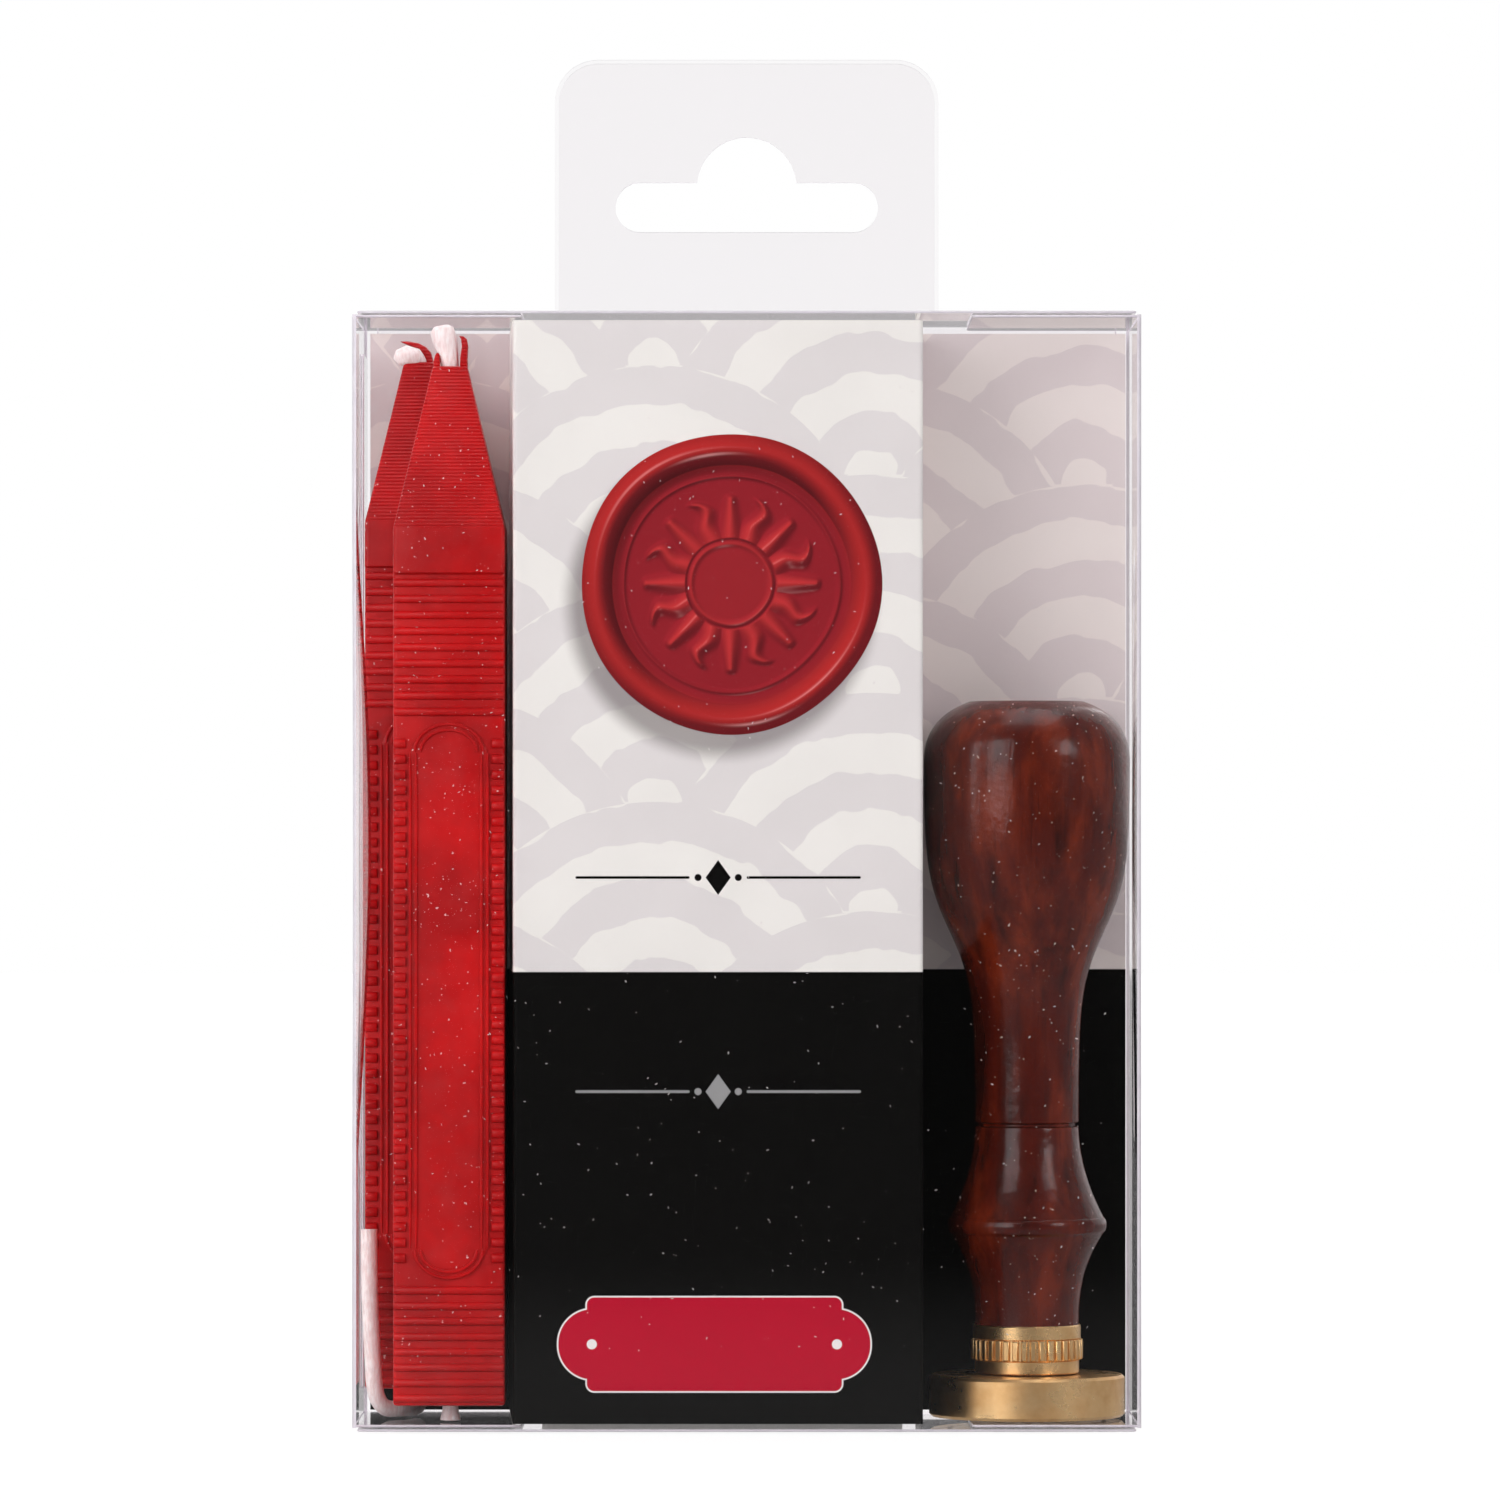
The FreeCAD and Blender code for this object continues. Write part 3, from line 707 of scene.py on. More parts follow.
@dataclass(frozen=True)
class WaxFinish:
    """Cast sealing wax with pale dust, faint smudges and fine lines on the taper."""

    name: str
    colour: Colour
    deep: Colour
    dust: Colour = srgb(236, 196, 196)
    shoulder: float = 107.6
    line_pitch: float = 0.42

    def make(self) -> Material:
        """Builds the material.

        Returns:
            The finish.
        """
        made, net = new_finish(self.name)
        place = net.place()
        up = net.axis(place, 2)
        tone = net.ease(net.noise(place, scale=0.09, detail=4.0, rough=0.6), 0.3, 0.72)
        body = net.mix(tone, self.deep, self.colour)
        worn = net.group(
            Marks.specks(), vector=place, colour=body, dust=self.dust, density=0.8, smudge=0.015)
        lines = net.math("SINE", net.math("MULTIPLY", up, 2 * math.pi / self.line_pitch))
        lines = net.math("MULTIPLY", lines, net.ease(up, self.shoulder, self.shoulder + 0.3))
        normal = net.bump(lines, 0.5, 0.1 * MM)
        normal = net.bump(net.noise(place, scale=0.8, detail=4.0, rough=0.6), 0.1, 0.25 * MM, normal)
        rough = net.ease(net.noise(place, scale=0.5), 0.3, 0.7, 0.3, 0.46)
        rough = net.math("ADD", rough, net.math("MULTIPLY", worn["Mask"], 0.3))
        net.output(net.principled(
            base_color=worn["Colour"], roughness=rough, normal=normal, subsurface_weight=0.12,
            subsurface_radius=(1.0, 0.12, 0.1), subsurface_scale=0.8 * MM, specular_ior_level=0.2))
        return made


@dataclass(frozen=True)
class WickFinish:
    """Cotton wick soaked in pale wax."""

    name: str = "waxed_wick"
    colour: Colour = srgb(248, 238, 236)
    deep: Colour = srgb(234, 214, 212)

    def make(self) -> Material:
        """Builds the material.

        Returns:
            The finish.
        """
        made, net = new_finish(self.name)
        twist = net.stretch(net.place(), (1.0, 1.0, 0.25), (0.5, 0.6, 0.0))
        strands = net.noise(twist, scale=3.2, rough=0.55)
        body = net.mix(net.ease(strands, 0.35, 0.65), self.deep, self.colour)
        net.output(net.principled(
            base_color=body, roughness=0.5, normal=net.bump(strands, 0.35, 0.2 * MM), subsurface_weight=0.35,
            subsurface_radius=(1.0, 0.75, 0.7), subsurface_scale=0.9 * MM, specular_ior_level=0.4))
        return made


@dataclass(frozen=True)
class WoodFinish:
    """Turned hardwood, stained dark red-brown and varnished."""

    name: str = "varnished_wood"
    dark: Colour = srgb(30, 8, 4)
    mid: Colour = srgb(72, 18, 8)
    light: Colour = srgb(134, 46, 17)
    dust: Colour = srgb(216, 196, 184)
    roughness: float = 0.2

    def make(self) -> Material:
        """Builds the material.

        Returns:
            The finish.
        """
        made, net = new_finish(self.name)
        place = net.place()
        grain_at = net.stretch(place, (1.0, 1.0, 0.09), (0.03, -0.05, 0.0))
        bands = net.noise(grain_at, scale=0.42, detail=5.0, rough=0.6, twist=0.8)
        mottle_at = net.stretch(place, (1.0, 1.0, 0.34))
        mottle = net.noise(mottle_at, scale=0.17, detail=5.0, rough=0.62, twist=0.35)
        pores = net.noise(net.stretch(place, (1.0, 1.0, 0.05)), scale=3.6, detail=2.0)
        body = net.mix(net.ease(bands, 0.25, 0.6, 0.25, 1.0), self.dark, self.mid)
        body = net.mix(net.ease(mottle, 0.42, 0.74, 0.0, 0.6), body, self.light)
        body = net.mix(net.ease(mottle, 0.44, 0.26, 0.0, 0.45), body, self.dark)
        body = net.mix(net.ease(pores, 0.6, 0.72, 0.0, 0.35), body, self.dark)
        worn = net.group(
            Marks.specks(), vector=place, colour=body, dust=self.dust, density=0.68, smudge=0.006)
        normal = net.bump(net.noise(place, scale=0.9, detail=2.0), 0.24, 0.22 * MM)
        normal = net.bump(pores, 0.1, 0.1 * MM, normal)
        rough = net.math("ADD", self.roughness, net.math("MULTIPLY", worn["Mask"], 0.4))
        net.output(net.principled(
            base_color=worn["Colour"], roughness=rough, normal=normal, specular_ior_level=0.36))
        return made


@dataclass(frozen=True)
class MetalFinish:
    """Turned metal with fine tool lines and light handling marks."""

    name: str = "brass"
    colour: Colour = srgb(246, 206, 148)
    deep: Colour = srgb(222, 172, 112)
    roughness: float = 0.29
    line_scale: float = 16.0
    scratched: float = 0.3

    def make(self) -> Material:
        """Builds the material.

        Returns:
            The finish.
        """
        made, net = new_finish(self.name)
        place = net.place()
        lines = net.noise(net.stretch(place, (0.05, 0.05, 1.0)), self.line_scale, detail=2.0, rough=0.6)
        cloud = net.noise(place, scale=0.22, detail=4.0, rough=0.6)
        body = net.mix(net.ease(cloud, 0.35, 0.75), self.colour, self.deep)
        scratch = net.group(Marks.scratches(), vector=place, amount=self.scratched)["Mask"]
        rough = net.ease(cloud, 0.3, 0.7, self.roughness - 0.05, self.roughness + 0.1)
        rough = net.math("ADD", rough, net.math("MULTIPLY", scratch, 0.15))
        normal = net.bump(lines, 0.1, 0.05 * MM)
        net.output(net.principled(base_color=body, metallic=1.0, roughness=rough, normal=normal))
        return made


@dataclass(frozen=True)
class FleckFinish:
    """Pale dust and lint inside the film."""

    name: str = "film_dust"
    dark: Colour = srgb(190, 180, 180)
    light: Colour = srgb(245, 240, 240)

    def make(self) -> Material:
        """Builds the material.

        Returns:
            The finish.
        """
        made, net = new_finish(self.name)
        tone = net.mix(net.noise(net.place(), scale=0.6), self.dark, self.light)
        net.output(net.principled(base_color=tone, roughness=0.9))
        return made


# Mesh making


def at_height(outline: np.ndarray, z: float) -> np.ndarray:
    """An outline in X and Y as points at one height."""
    return np.column_stack([outline, np.full(len(outline), z)])


def at_depth(outline: np.ndarray, y: float) -> np.ndarray:
    """An outline in X and Z as points at one depth."""
    return np.column_stack([outline[:, 0], np.full(len(outline), y), outline[:, 1]])


def arc(x: float, y: float, radius: float, start: float, end: float, count: int) -> np.ndarray:
    """Points on a flat arc from one angle to another."""
    turn = np.linspace(start, end, count)
    return np.stack([x + radius * np.cos(turn), y + radius * np.sin(turn)], 1)


def points_of(mesh: bpy.types.Mesh) -> np.ndarray:
    """Reads a mesh's points.

    Args:
        mesh: The mesh.

    Returns:
        An array of points, three coordinates each.
    """
    flat = np.zeros(len(mesh.vertices) * 3)
    mesh.vertices.foreach_get("co", flat)
    return flat.reshape(-1, 3)


@dataclass
class Shell:
    """Vertices and faces in millimetres, gathered into one mesh."""

    verts: list[np.ndarray] = field(default_factory=list)
    faces: list[tuple[int, ...]] = field(default_factory=list)
    count: int = 0

    def add(self, verts: np.ndarray, faces: Sequence[Sequence[int]]) -> None:
        """Adds a part.

        Args:
            verts: Its points.
            faces: Its faces, numbered from its own first point.
        """
        verts = np.asarray(verts, float).reshape(-1, 3)
        self.verts.append(verts)
        self.faces += [tuple(index + self.count for index in face) for face in faces]
        self.count += len(verts)

    def grid(self, points: np.ndarray, around: bool = False, flip: bool = False, caps: bool = False) -> None:
        """Adds rows of points as a skin.

        Args:
            points: Array of rows, columns and three coordinates.
            around: Whether each row closes on itself.
            flip: Whether to turn the faces over.
            caps: Whether to close the first and last row.
        """
        rows, cols = points.shape[:2]
        faces = []
        for row in range(0, (rows - 1) * cols, cols):
            for here in range(cols if around else cols - 1):
                after = (here + 1) % cols
                faces.append((row + here, row + after, row + cols + after, row + cols + here))
        if caps:
            faces.append(tuple(reversed(range(cols))))
            faces.append(tuple(range((rows - 1) * cols, rows * cols)))
        if flip:
            faces = [tuple(reversed(face)) for face in faces]
        self.add(points, faces)

    def slab(self, front: np.ndarray, back: np.ndarray, around: bool = False) -> None:
        """Adds a thin sheet: two skins, and the strips that close its edges.

        Args:
            front: Rows of points of the skin that keeps its faces as they are.
            back: Rows of points of the skin behind it.
            around: Whether each row closes on itself.
        """
        self.grid(front, around)
        self.grid(back, around, flip=True)
        self.grid(np.array([front[-1], back[-1]]), around)
        self.grid(np.array([back[0], front[0]]), around)
        if not around:
            self.grid(np.stack([back[:, 0], front[:, 0]], 1))
            self.grid(np.stack([front[:, -1], back[:, -1]], 1))

    def tube(self, path: np.ndarray, radii: Sequence[float], sides: int) -> None:
        """Adds a round tube along a path, with closed ends.

        Args:
            path: Points of the centre line.
            radii: A radius for each point.
            sides: Points around the tube.
        """
        ahead = np.roll(path, -1, 0) - np.roll(path, 1, 0)
        ahead[0], ahead[-1] = path[1] - path[0], path[-1] - path[-2]
        ahead /= np.linalg.norm(ahead, axis=1)[:, None]
        side = np.cross(ahead[0], (0.31, 0.87, 0.38))
        turn = np.linspace(0, 2 * np.pi, sides, endpoint=False)[:, None]
        rings = []
        for point, way, radius in zip(path, ahead, radii):
            side = side - way * side.dot(way)
            side = side / np.linalg.norm(side)
            rings.append(point + radius * (np.cos(turn) * side + np.sin(turn) * np.cross(way, side)))
        self.grid(np.array(rings), around=True, caps=True)

    def piece(self, name: str, smooth_deg: float = 35.0, weld: bool = False) -> Piece:
        """Makes the object.

        Args:
            name: The object's name.
            smooth_deg: Edges sharper than this stay sharp.
            weld: Whether to merge doubled points.

        Returns:
            The object at the origin, in metres.
        """
        mesh = bpy.data.meshes.new(name)
        mesh.from_pydata((np.vstack(self.verts) * MM).tolist(), [], self.faces)
        if weld:
            form = bmesh.new()
            form.from_mesh(mesh)
            bmesh.ops.remove_doubles(form, verts=form.verts, dist=1e-6)
            form.to_mesh(mesh)
            form.free()
        mesh.validate()
        mesh.polygons.foreach_set("use_smooth", [True] * len(mesh.polygons))
        mesh.set_sharp_from_angle(angle=math.radians(smooth_deg))
        made = bpy.data.objects.new(name, mesh)
        bpy.context.scene.collection.objects.link(made)
        return made


def paint(piece: Piece, *finishes: Material) -> Piece:
    """Adds finishes to a piece.

    Args:
        piece: The object.
        *finishes: Its materials, the main one first.

    Returns:
        The piece.
    """
    for finish in finishes:
        piece.data.materials.append(finish)
    return piece


def dress(piece: Piece, slot: Slot, body: Body, *nodes: str) -> None:
    """Gives a painted piece its body, hides the CAD nodes that it stands for and logs them.

    Args:
        piece: The finished object.
        slot: The record's material slot; not used.
        body: The body that it rides on.
        *nodes: CAD nodes that it replaces.
    """
    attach(piece, body.value)
    if nodes:
        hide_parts(*nodes)
    log.info("%s: %s", piece.name, ", ".join(nodes) or "added")


def repaint(name: str, finish: Material) -> None:
    """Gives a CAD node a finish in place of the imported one.

    Args:
        name: The node's name.
        finish: Its material.
    """
    node = frame["nodes"][name]
    node.data.materials.clear()
    paint(node, finish)
    log.info("%s: %s", name, finish.name)


def rounded_ring(half_x: float, half_y: float, radius: float, steps: int = 4) -> np.ndarray:
    """Points round a rectangle with rounded corners, anticlockwise from above.

    Args:
        half_x: Half the width.
        half_y: Half the depth.
        radius: Corner radius.
        steps: Points on each corner, less one.

    Returns:
        An array of points, two coordinates each.
    """
    points = []
    for number, (sx, sy) in enumerate(((1, -1), (1, 1), (-1, 1), (-1, -1))):
        for step in range(steps + 1):
            turn = math.pi / 2 * (number - 1 + step / steps)
            x = sx * (half_x - radius) + radius * math.cos(turn)
            points.append((x, sy * (half_y - radius) + radius * math.sin(turn)))
    return np.array(points)


def lathe(profile: Sequence[Pair], centre: Pair, segments: int) -> np.ndarray:
    """Rows of points for a turned shape.

    Args:
        profile: Radius and height of each point in turn.
        centre: The axis.
        segments: Points around.

    Returns:
        Rows for Shell.grid.
    """
    turn = np.linspace(0, 2 * np.pi, segments, endpoint=False)
    circle = np.stack([np.cos(turn), np.sin(turn)], 1)
    return np.array([at_height(np.array(centre) + radius * circle, z) for radius, z in profile])


# Geometry node trees


class Rows:
    """Geometry node trees that repeat a small shape."""

    @staticmethod
    def _tree(name: str, sizes: dict[str, str]) -> tuple[Wiring, dict[str, str], Any]:
        """Opens a tree with named inputs.

        Args:
            name: The tree's name.
            sizes: Socket types by input name.

        Returns:
            The tree's wiring, its socket identifiers by name, and its input node's outputs.
        """
        net = Wiring(bpy.data.node_groups.new(name, "GeometryNodeTree"))
        sockets = net.tree.interface
        sockets.new_socket(name="Geometry", in_out="OUTPUT", socket_type="NodeSocketGeometry")
        ids = {}
        for label, kind in sizes.items():
            made = sockets.new_socket(name=label, in_out="INPUT", socket_type="NodeSocket" + kind)
            ids[label] = made.identifier
        return net, ids, net.node("NodeGroupInput").outputs

    @staticmethod
    def _place(net: Wiring, points: Socket, shape: Socket, material: Socket, **more: Socket) -> None:
        """Instances a shape on points, makes it real and sets its material.

        Args:
            net: The tree's wiring.
            points: Where the copies go.
            shape: What is copied.
            material: The finish.
            **more: Other inputs of the instancing node, such as Scale and Rotation.
        """
        inputs = {"Points": points, "Instance": shape, **more}
        copies = net.node("GeometryNodeInstanceOnPoints", inputs).outputs[0]
        real = net.node("GeometryNodeRealizeInstances", {0: copies}).outputs[0]
        done = net.node("GeometryNodeSetMaterial", {"Geometry": real, "Material": material}).outputs[0]
        net.node("NodeGroupOutput", {0: done})

    @staticmethod
    def _run(name: str, tree: Tree, ids: dict[str, str], values: dict[str, Any]) -> Piece:
        """Runs a tree and keeps its result as a plain mesh.

        Args:
            name: The object's name.
            tree: The tree.
            ids: Socket identifiers by input name.
            values: Values by input name.

        Returns:
            The object, with no modifier left.
        """
        host = bpy.data.objects.new(name, bpy.data.meshes.new(name))
        bpy.context.scene.collection.objects.link(host)
        live = host.modifiers.new("rows", "NODES")
        live.node_group = tree
        for label, value in values.items():
            live[ids[label]] = value
        bpy.context.view_layer.update()
        result = bpy.data.meshes.new_from_object(host.evaluated_get(bpy.context.evaluated_depsgraph_get()))
        host.modifiers.remove(live)
        host.data = result
        result.name = name
        return host

    @classmethod
    def line(
            cls, name: str, shape: Piece, count: int, start: Sequence[float], step: Sequence[float],
            material: Material, turn: float = 0.0) -> Piece:
        """Repeats a shape along a straight line and removes the single shape.

        Args:
            name: The new object's name.
            shape: The object to repeat, around the origin.
            count: Number of copies.
            start: Place of the first copy, in metres.
            step: From each copy to the next, in metres.
            material: The finish.
            turn: The angle about Z that the copies share out among them.

        Returns:
            The row as one object.
        """
        sizes = {"Shape": "Object", "Count": "Int", "Start": "Vector", "Step": "Vector", "Turn": "Float"}
        net, ids, given = cls._tree("row_of_copies", sizes | {"Material": "Material"})
        spread = {"Count": given["Count"], "Start Location": given["Start"], "Offset": given["Step"]}
        points = net.node("GeometryNodeMeshLine", spread).outputs[0]
        one = net.node("GeometryNodeObjectInfo", {"Object": given["Shape"]}).outputs["Geometry"]
        share = net.math("DIVIDE", net.node("GeometryNodeInputIndex").outputs[0], given["Count"])
        angle = net.math("MULTIPLY", share, given["Turn"])
        turned = net.node("ShaderNodeCombineXYZ", {"Z": angle}).outputs[0]
        cls._place(net, points, one, given["Material"], Rotation=turned)
        values = {"Shape": shape, "Count": count, "Start": start, "Step": step, "Turn": turn}
        made = cls._run(name, net.tree, ids, values | {"Material": material})
        bpy.data.objects.remove(shape)
        return made

    @classmethod
    def ring(cls, name: str, shape: Piece, count: int, centre: Sequence[float], material: Material) -> Piece:
        """Repeats a shape round an upright axis, out along X from it, and removes the single shape."""
        return cls.line(name, shape, count, centre, (0.0, 0.0, 0.0), material, 2 * math.pi)

    @classmethod
    def scatter(
            cls, name: str, field_size: Pair, density: float, size: float, seed: int,
            material: Material) -> Piece:
        """Scatters small flecks over a flat rectangle around the origin.

        Args:
            name: The new object's name.
            field_size: The rectangle along X and Y, in metres.
            density: Flecks on each square metre.
            size: Largest fleck, in metres.
            seed: Fixed seed.
            material: The finish.

        Returns:
            The flecks as one object.
        """
        sizes = {label: "Float" for label in ("Width", "Height", "Density", "Size")}
        net, ids, given = cls._tree("scattered_flecks", sizes | {"Seed": "Int", "Material": "Material"})
        ground = net.node("GeometryNodeMeshGrid", {"Size X": given["Width"], "Size Y": given["Height"]})
        spread = {"Mesh": ground.outputs[0], "Density": given["Density"], "Seed": given["Seed"]}
        points = net.node("GeometryNodeDistributePointsOnFaces", spread).outputs["Points"]
        fleck = net.node("GeometryNodeMeshIcoSphere", {"Radius": 0.5}).outputs[0]
        smallest, largest = (0.1, 0.1, 0.05), (1.0, 0.32, 0.12)
        still, round_z = (0.0, 0.0, 0.0), (0.0, 0.0, 6.28)
        form = net.node("FunctionNodeRandomValue", {0: smallest, 1: largest}, data_type="FLOAT_VECTOR")
        turn = net.node("FunctionNodeRandomValue", {0: still, 1: round_z}, data_type="FLOAT_VECTOR")
        inputs = {0: form.outputs[0], "Scale": given["Size"]}
        scale = net.node("ShaderNodeVectorMath", inputs, operation="SCALE").outputs[0]
        cls._place(net, points, fleck, given["Material"], Scale=scale, Rotation=turn.outputs[0])
        width, height = field_size
        values = {"Width": width, "Height": height, "Density": density, "Size": size, "Seed": seed}
        return cls._run(name, net.tree, ids, values | {"Material": material})


def join(target: Piece, *others: Piece) -> Piece:
    """Joins objects into one.

    Args:
        target: The object that stays.
        *others: The objects that go into it.

    Returns:
        The first object, with all the meshes.
    """
    with bpy.context.temp_override(active_object=target, selected_editable_objects=[target, *others]):
        bpy.ops.object.join()
    return target


# Sub-assemblies


@dataclass
class FilmBox:
    """The clear film box: one folded sleeve, its lids, flaps and hang tab."""

    half_w: float = 47.0
    half_d: float = 14.75
    height: float = 133.5
    film: float = 0.3
    corner: float = 0.5
    flap_corner: float = 0.6
    glue_gap: float = 0.03
    front_end: float = 0.45
    side_end: float = 0.9
    rows: int = 56
    bow_left: float = 1.7
    bow_right: float = 0.5
    bow_low: float = 30.0
    bow_high: float = 110.0
    dust_field: Pair = (0.086, 0.118)
    dust_middle: float = 0.068
    dust_density: float = 60000.0
    dust_size: float = 0.42
    dust_seed: int = 11
    dust_gap: float = 0.03
    flaps: tuple[tuple[str, Body], ...] = (
        ("top_lid", Body.TOP_LID), ("top_tuck_flap", Body.TOP_TUCK),
        ("top_dust_flap_left", Body.TOP_DUST_LEFT), ("top_dust_flap_right", Body.TOP_DUST_RIGHT),
        ("bottom_lid", Body.BOTTOM_LID), ("bottom_tuck_flap", Body.BOTTOM_TUCK),
        ("bottom_dust_flap_left", Body.BOTTOM_DUST_LEFT), ("bottom_dust_flap_right", Body.BOTTOM_DUST_RIGHT),
        ("glue_flap", Body.BOX))

    def build(self) -> None:
        """Makes the sleeve, the hang tab, every flap and the dust."""
        film, crease = FilmFinish().make(), CreaseFinish().make()
        pieces = [
            (self.sleeve(), Body.BOX, ("front_panel", "left_panel", "right_panel", "back_panel")),
            (HangTab().build(), Body.BOX, ("hang_tab", "tab_doubler"))]
        pieces += [(self.flap(node), body, (node,)) for node, body in self.flaps]
        for piece, body, nodes in pieces:
            dress(paint(piece, film, crease), Slot.FILM, body, *nodes)
        self.dust()

    def flap(self, node: str) -> Piece:
        """One flat flap with round edges, in the place of a CAD node.

        Args:
            node: The CAD node's name.

        Returns:
            The flap, its rim marked as creased film and its flat faces kept flat.
        """
        low, high = (np.array(corner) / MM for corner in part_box(node))
        middle, half = (low + high) / 2, (high - low) / 2
        flat = int(np.argmin(half))
        a, b = [axis for axis in range(3) if axis != flat]
        thick = self.film / 2 - (self.glue_gap if node == "glue_flap" else 0.0)
        corner = min(self.flap_corner, half[b] * 0.3)
        rows = []
        for turn in np.linspace(-np.pi / 2, np.pi / 2, 7):
            inset = thick * (1 - math.cos(turn))
            ring = rounded_ring(half[a] - inset, half[b] - inset, corner)
            row = np.zeros((len(ring), 3))
            row[:, a], row[:, b] = ring[:, 0], ring[:, 1]
            row[:, flat] = thick * math.sin(turn)
            rows.append(row + middle)
        shell = Shell()
        shell.grid(np.array(rows), around=True, flip=flat == 1, caps=True)
        piece = shell.piece(node + "_film", 50.0)
        mesh = piece.data
        sides = len(mesh.polygons) - 2
        mesh.polygons.foreach_set("material_index", [1] * sides + [0, 0])
        for face in mesh.polygons[sides:]:
            for loop in face.loop_indices:
                mesh.edges[mesh.loops[loop].edge_index].use_edge_sharp = True
        return piece

    def section(self, inset: float) -> tuple[np.ndarray, np.ndarray]:
        """The sleeve's outline, from its front right corner round.

        Args:
            inset: Distance inside the outer face.

        Returns:
            Points, and how far in from the sleeve's ends the film stops at each.
        """
        steps = 6
        ring = rounded_ring(self.half_w - inset, self.half_d - inset, self.corner - inset, steps)
        corners = ring.reshape(4, steps + 1, 2)
        corner_ends = (self.front_end, 0.0, 0.0, self.front_end)
        sides = ((24, self.side_end), (40, 0.0), (24, self.side_end), (40, self.front_end))
        points, ends = [], []
        for number, (count, end) in enumerate(sides):
            first, last = corners[number][-1], corners[(number + 1) % 4][0]
            shares = np.concatenate([[0.001], np.linspace(0.02, 0.98, count), [0.999]])
            points += [corners[number], first + (last - first) * shares[:, None]]
            ends += [corner_ends[number]] * (steps + 1) + [end] * len(shares)
        return np.vstack(points), np.array(ends)

    def bow(self, x: np.ndarray, y: np.ndarray, z: np.ndarray) -> np.ndarray:
        """How far the side panels bow inwards.

        Args:
            x: Places along X.
            y: Places along Y.
            z: Places along Z.

        Returns:
            The shift of each along X.
        """
        tall = np.clip((z - self.bow_low) / (self.bow_high - self.bow_low), 0, 1)
        depth = np.clip((y + self.half_d) / (self.half_d - 1.0), 0, 1)
        shape = np.sin(np.pi * tall) ** 1.3 * np.sin(np.pi * depth) ** 1.2
        side = np.abs(x) > self.half_w - self.film - 0.05
        left = np.where(x < 0, self.bow_left, -self.bow_right)
        return np.where(side, left * shape, 0.0)

    def sleeve(self) -> Piece:
        """The four panels as one sheet with soft creases.

        Returns:
            The sleeve, its folds and cut ends marked as creased film.
        """
        skins = []
        for inset in (0.0, self.film):
            points, ends = self.section(inset)
            x, y = points[:, 0], points[:, 1]
            levels = [ends + (self.height - 2 * ends) * share for share in np.linspace(0, 1, self.rows)]
            skins.append(np.array([np.stack([x + self.bow(x, y, z), y, z], 1) for z in levels]))
        shell = Shell()
        shell.slab(*skins, around=True)
        piece = shell.piece("film_sleeve", 50.0, weld=True)
        for face in piece.data.polygons:
            x, y = (abs(value) / MM for value in face.center[:2])
            fold = x > self.half_w - self.corner and y > self.half_d - self.corner
            face.material_index = int(fold or abs(face.normal.z) > 0.5)
        return piece

    def dust(self) -> None:
        """A little lint on the inside of the front film."""
        flecks = Rows.scatter(
            "film_dust", self.dust_field, self.dust_density, self.dust_size * MM, self.dust_seed,
            FleckFinish().make())
        flat = points_of(flecks.data)
        level = (self.film - self.half_d + self.dust_gap) * MM
        turned = np.stack([flat[:, 0], level + np.abs(flat[:, 2]), flat[:, 1] + self.dust_middle], 1)
        flecks.data.vertices.foreach_set("co", turned.ravel())
        flecks.data.flip_normals()
        flecks.data.update()
        dress(flecks, Slot.FILM, Body.BOX)


@dataclass
class HangTab:
    """The hang tab: two sheets of film, one on the other, with a hook slot through both."""

    half_w: float = 23.5
    foot: float = 133.5
    head: float = 166.1
    corner: float = 5.3
    slot_at: float = 148.0
    slot_half: float = 16.1
    slot_r: float = 3.05
    hump_r: float = 6.1
    hump_top: float = 156.6
    layers: tuple[tuple[float, float, float], ...] = ((14.47, 14.75, 0.0), (14.15, 14.43, 0.5))

    def build(self) -> Piece:
        """Makes both sheets as one object.

        Returns:
            The tab, its cut edges marked as creased film.
        """
        shell = Shell()
        for front, rear, inset in self.layers:
            line = bpy.data.curves.new("tab_outline", "CURVE")
            line.dimensions = "2D"
            line.fill_mode = "BOTH"
            line.extrude = (rear - front) / 2
            for outline in (self.edge(inset), self.slot()):
                spline = line.splines.new("POLY")
                spline.points.add(len(outline) - 1)
                flat = np.column_stack([outline, np.zeros(len(outline)), np.ones(len(outline))])
                spline.points.foreach_set("co", flat.ravel())
                spline.use_cyclic_u = True
            sketch = bpy.data.objects.new("tab_outline", line)
            mesh = sketch.to_mesh()
            flat = points_of(mesh)
            upright = np.stack([flat[:, 0], (front + rear) / 2 - flat[:, 2], flat[:, 1]], 1)
            shell.add(upright, [tuple(face.vertices) for face in mesh.polygons])
            bpy.data.objects.remove(sketch)
        piece = shell.piece("hang_tab_film", 40.0, weld=True)
        for face in piece.data.polygons:
            face.material_index = int(abs(face.normal.y) < 0.5)
        return piece

    def edge(self, inset: float) -> np.ndarray:
        """The tab's outline in X and Z, with round upper corners.

        Args:
            inset: Distance inside the outer sheet's edge.

        Returns:
            The outline's points.
        """
        wide, low, bend = self.half_w - inset, self.foot + inset, self.corner - inset
        right = arc(wide - bend, self.head - inset - bend, bend, 0.0, np.pi / 2, 14)
        return np.vstack([[(-wide, low), (wide, low)], right, right[::-1] * (-1, 1)])

    def slot(self) -> np.ndarray:
        """The hook slot's outline in X and Z: a long pill with a round hump over its middle.

        Returns:
            The outline's points.
        """
        end = arc(self.slot_half - self.slot_r, self.slot_at, self.slot_r, -np.pi / 2, np.pi / 2, 14)
        rise = self.hump_top - self.hump_r
        low = math.asin((self.slot_at + self.slot_r - rise) / self.hump_r)
        hump = arc(0.0, rise, self.hump_r, low, np.pi - low, 30)
        return np.vstack([end, hump, end[::-1] * (-1, 1)])


